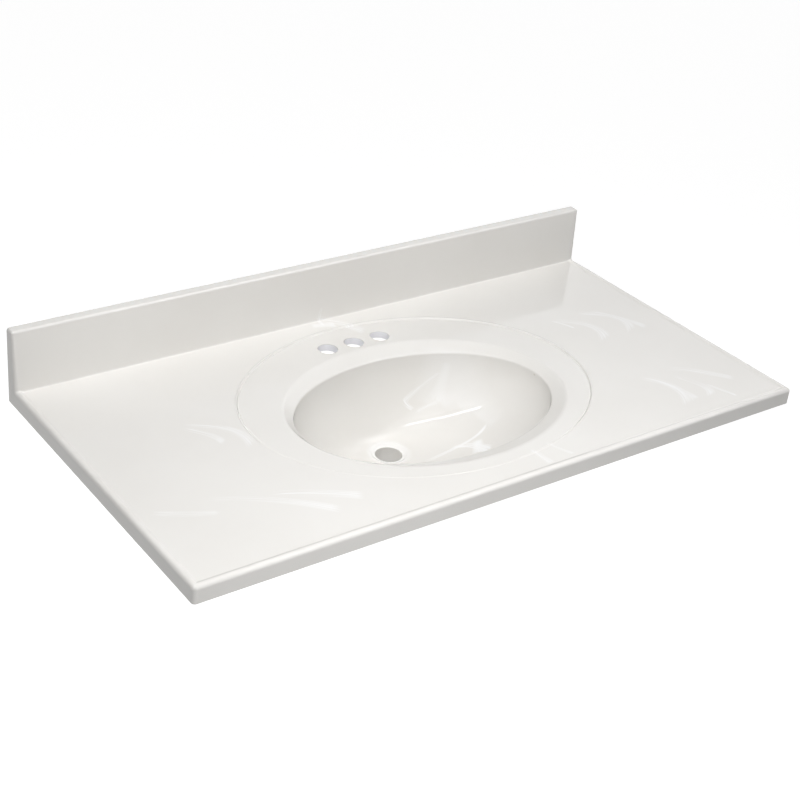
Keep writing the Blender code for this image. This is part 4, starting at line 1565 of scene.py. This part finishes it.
# %% Floor
FLOOR_LEVEL = -0.85
FLOOR_HALF = 14.0
FLOOR_WHITE = (0.4, 0.4, 0.4, 1.0)
FLOOR_SEEN = 0.91
FLOOR_MIRRORED = 0.85
FLOOR_BOUNCE = 0.38
WHITE = (1.0, 1.0, 1.0, 1.0)


def ray_kinds(tree):
    """1 for camera rays, and 1 for camera, mirror and glass rays, which carry no diffuse light."""
    path = add_node(tree, "ShaderNodeLightPath").outputs
    camera, glossy, glass = (Wire(path[f"Is {kind} Ray"]) for kind in ("Camera", "Glossy", "Transmission"))
    return camera, calc("MAXIMUM", camera, calc("MAXIMUM", glossy, glass))


def make_floor():
    """A large plane, clear from below, that is a part of the stage."""
    half = FLOOR_HALF
    corners = [(-half, -half), (half, -half), (half, half), (-half, half)]
    mesh = bpy.data.meshes.new("studio_floor")
    mesh.from_pydata([(x, y, FLOOR_LEVEL) for x, y in corners], [], [range(len(corners))])
    floor = add_object("studio_floor", mesh)
    look, shader = new_material("studio_floor")
    tree = look.node_tree
    camera, direct = ray_kinds(tree)
    glow = between(between(FLOOR_BOUNCE, FLOOR_MIRRORED, direct), FLOOR_SEEN, camera)
    inputs = {"Base Color": FLOOR_WHITE, "Roughness": 1.0, "Emission Color": WHITE}
    feed(shader, {**inputs, "Emission Strength": glow})
    clear = wire_from(tree, "ShaderNodeBsdfTransparent")
    below = wire_from(tree, "ShaderNodeNewGeometry", output="Backfacing")
    mixed = wire_from(tree, "ShaderNodeMixShader", {0: below, 1: Wire(shader.outputs[0]), 2: clear})
    feed(tree.nodes["Material Output"], {"Surface": mixed})
    mesh.materials.append(look)
    return floor


print("floor at", FLOOR_LEVEL, "m:", make_floor().name)

# %% [markdown]
# ## The light
#
# The light is plain and soft. A large soft box high on the left, one above and a low one in
# front light the part, with weak fills from the right and from behind. They give diffuse light
# only. What the glossy face mirrors is made apart from them: two long panels on the left, which
# are the straight bright streak in the bowl, a card on the right, and a surround that brightens
# to the right. The photograph asks for it: the back wall of the bowl and its floor are bright,
# while both ends and the wall that faces away from the camera stay dull.

# %% Lamps
OVERHEAD_LEVEL = 0.13
SURROUND_SPREAD = 0.25
SURROUND_LEVELS = (0.65, 1.55)
LAMP_AIM = Vector((-0.02, -0.28, 0.0))
ACROSS = (1, 0, 0)


def around(azimuth, elevation, distance):
    """A place seen from the middle of the top, with its azimuth counted from the front."""
    return LAMP_AIM + direction(math.radians(azimuth), math.radians(elevation)) * distance


# Name, centre, the direction of its length, length, width, radiance, and whether it is mirrored.
LAMPS = (
    ("high_soft_box", around(-60, 64, 2.4), ACROSS, 1.15, 0.96, 9.1, False),
    ("top_soft_box", around(0, 85, 1.6), ACROSS, 0.80, 0.60, 4.9, False),
    ("low_soft_box", around(-17, 22, 1.05), ACROSS, 0.80, 0.42, 2.75, False),
    ("side_fill", around(60, 50, 1.6), ACROSS, 0.80, 0.60, 1.8, False),
    ("back_fill", around(165, 5, 2.0), ACROSS, 1.80, 0.35, 6.0, False),
    ("near_panel", Vector((-0.46, -1.54, 2.0)), (-0.58, 1.02, 0), 1.15, 0.14, 11.0, True),
    ("far_panel", Vector((-1.08, -0.56, 2.0)), (-0.80, 0.82, 0), 1.10, 0.17, 11.0, True),
    ("side_card", around(50, 45, 2.4), ACROSS, 1.6, 1.0, 2.4, True),
)


def lamp(name, centre, along, length, width, radiance, mirrored):
    """A flat lamp that faces the top; it gives diffuse light, or it is only mirrored."""
    light = bpy.data.lights.new(name, "AREA")
    light.shape = "RECTANGLE"
    light.size = length
    light.size_y = width
    light.energy = radiance * math.pi * length * width
    facing = (centre - LAMP_AIM).normalized()
    side = (Vector(along) - facing * Vector(along).dot(facing)).normalized()
    body = add_object(name, light)
    aim(body, centre, side, facing.cross(side), facing)
    body.visible_diffuse = not mirrored
    body.visible_glossy = mirrored


def make_world():
    """White to the camera, brighter at the right in mirrors, and dim from above as a light."""
    world = bpy.data.worlds.new("studio")
    bpy.context.scene.world = world
    world.use_nodes = True
    tree = world.node_tree
    camera, direct = ray_kinds(tree)
    way = wire_from(tree, "ShaderNodeTexCoord", output="Generated")
    _, _, height = axes_of(way)
    diffuse = calc("MAXIMUM", height, 0.0) * OVERHEAD_LEVEL
    right = (math.cos(CAMERA_AZIMUTH), math.sin(CAMERA_AZIMUTH), 0.0)
    rightward = vector_calc("DOT_PRODUCT", way, right)
    mirrored = ramp(rightward, -SURROUND_SPREAD, SURROUND_SPREAD, *SURROUND_LEVELS)
    level = between(diffuse, between(mirrored, 1.0, camera), direct)
    feed(tree.nodes["Background"], {"Color": WHITE, "Strength": level})


make_world()
for row in LAMPS:
    lamp(*row)
print(len(LAMPS), "lamps")
bpy.context.scene.view_settings.view_transform = "Standard"
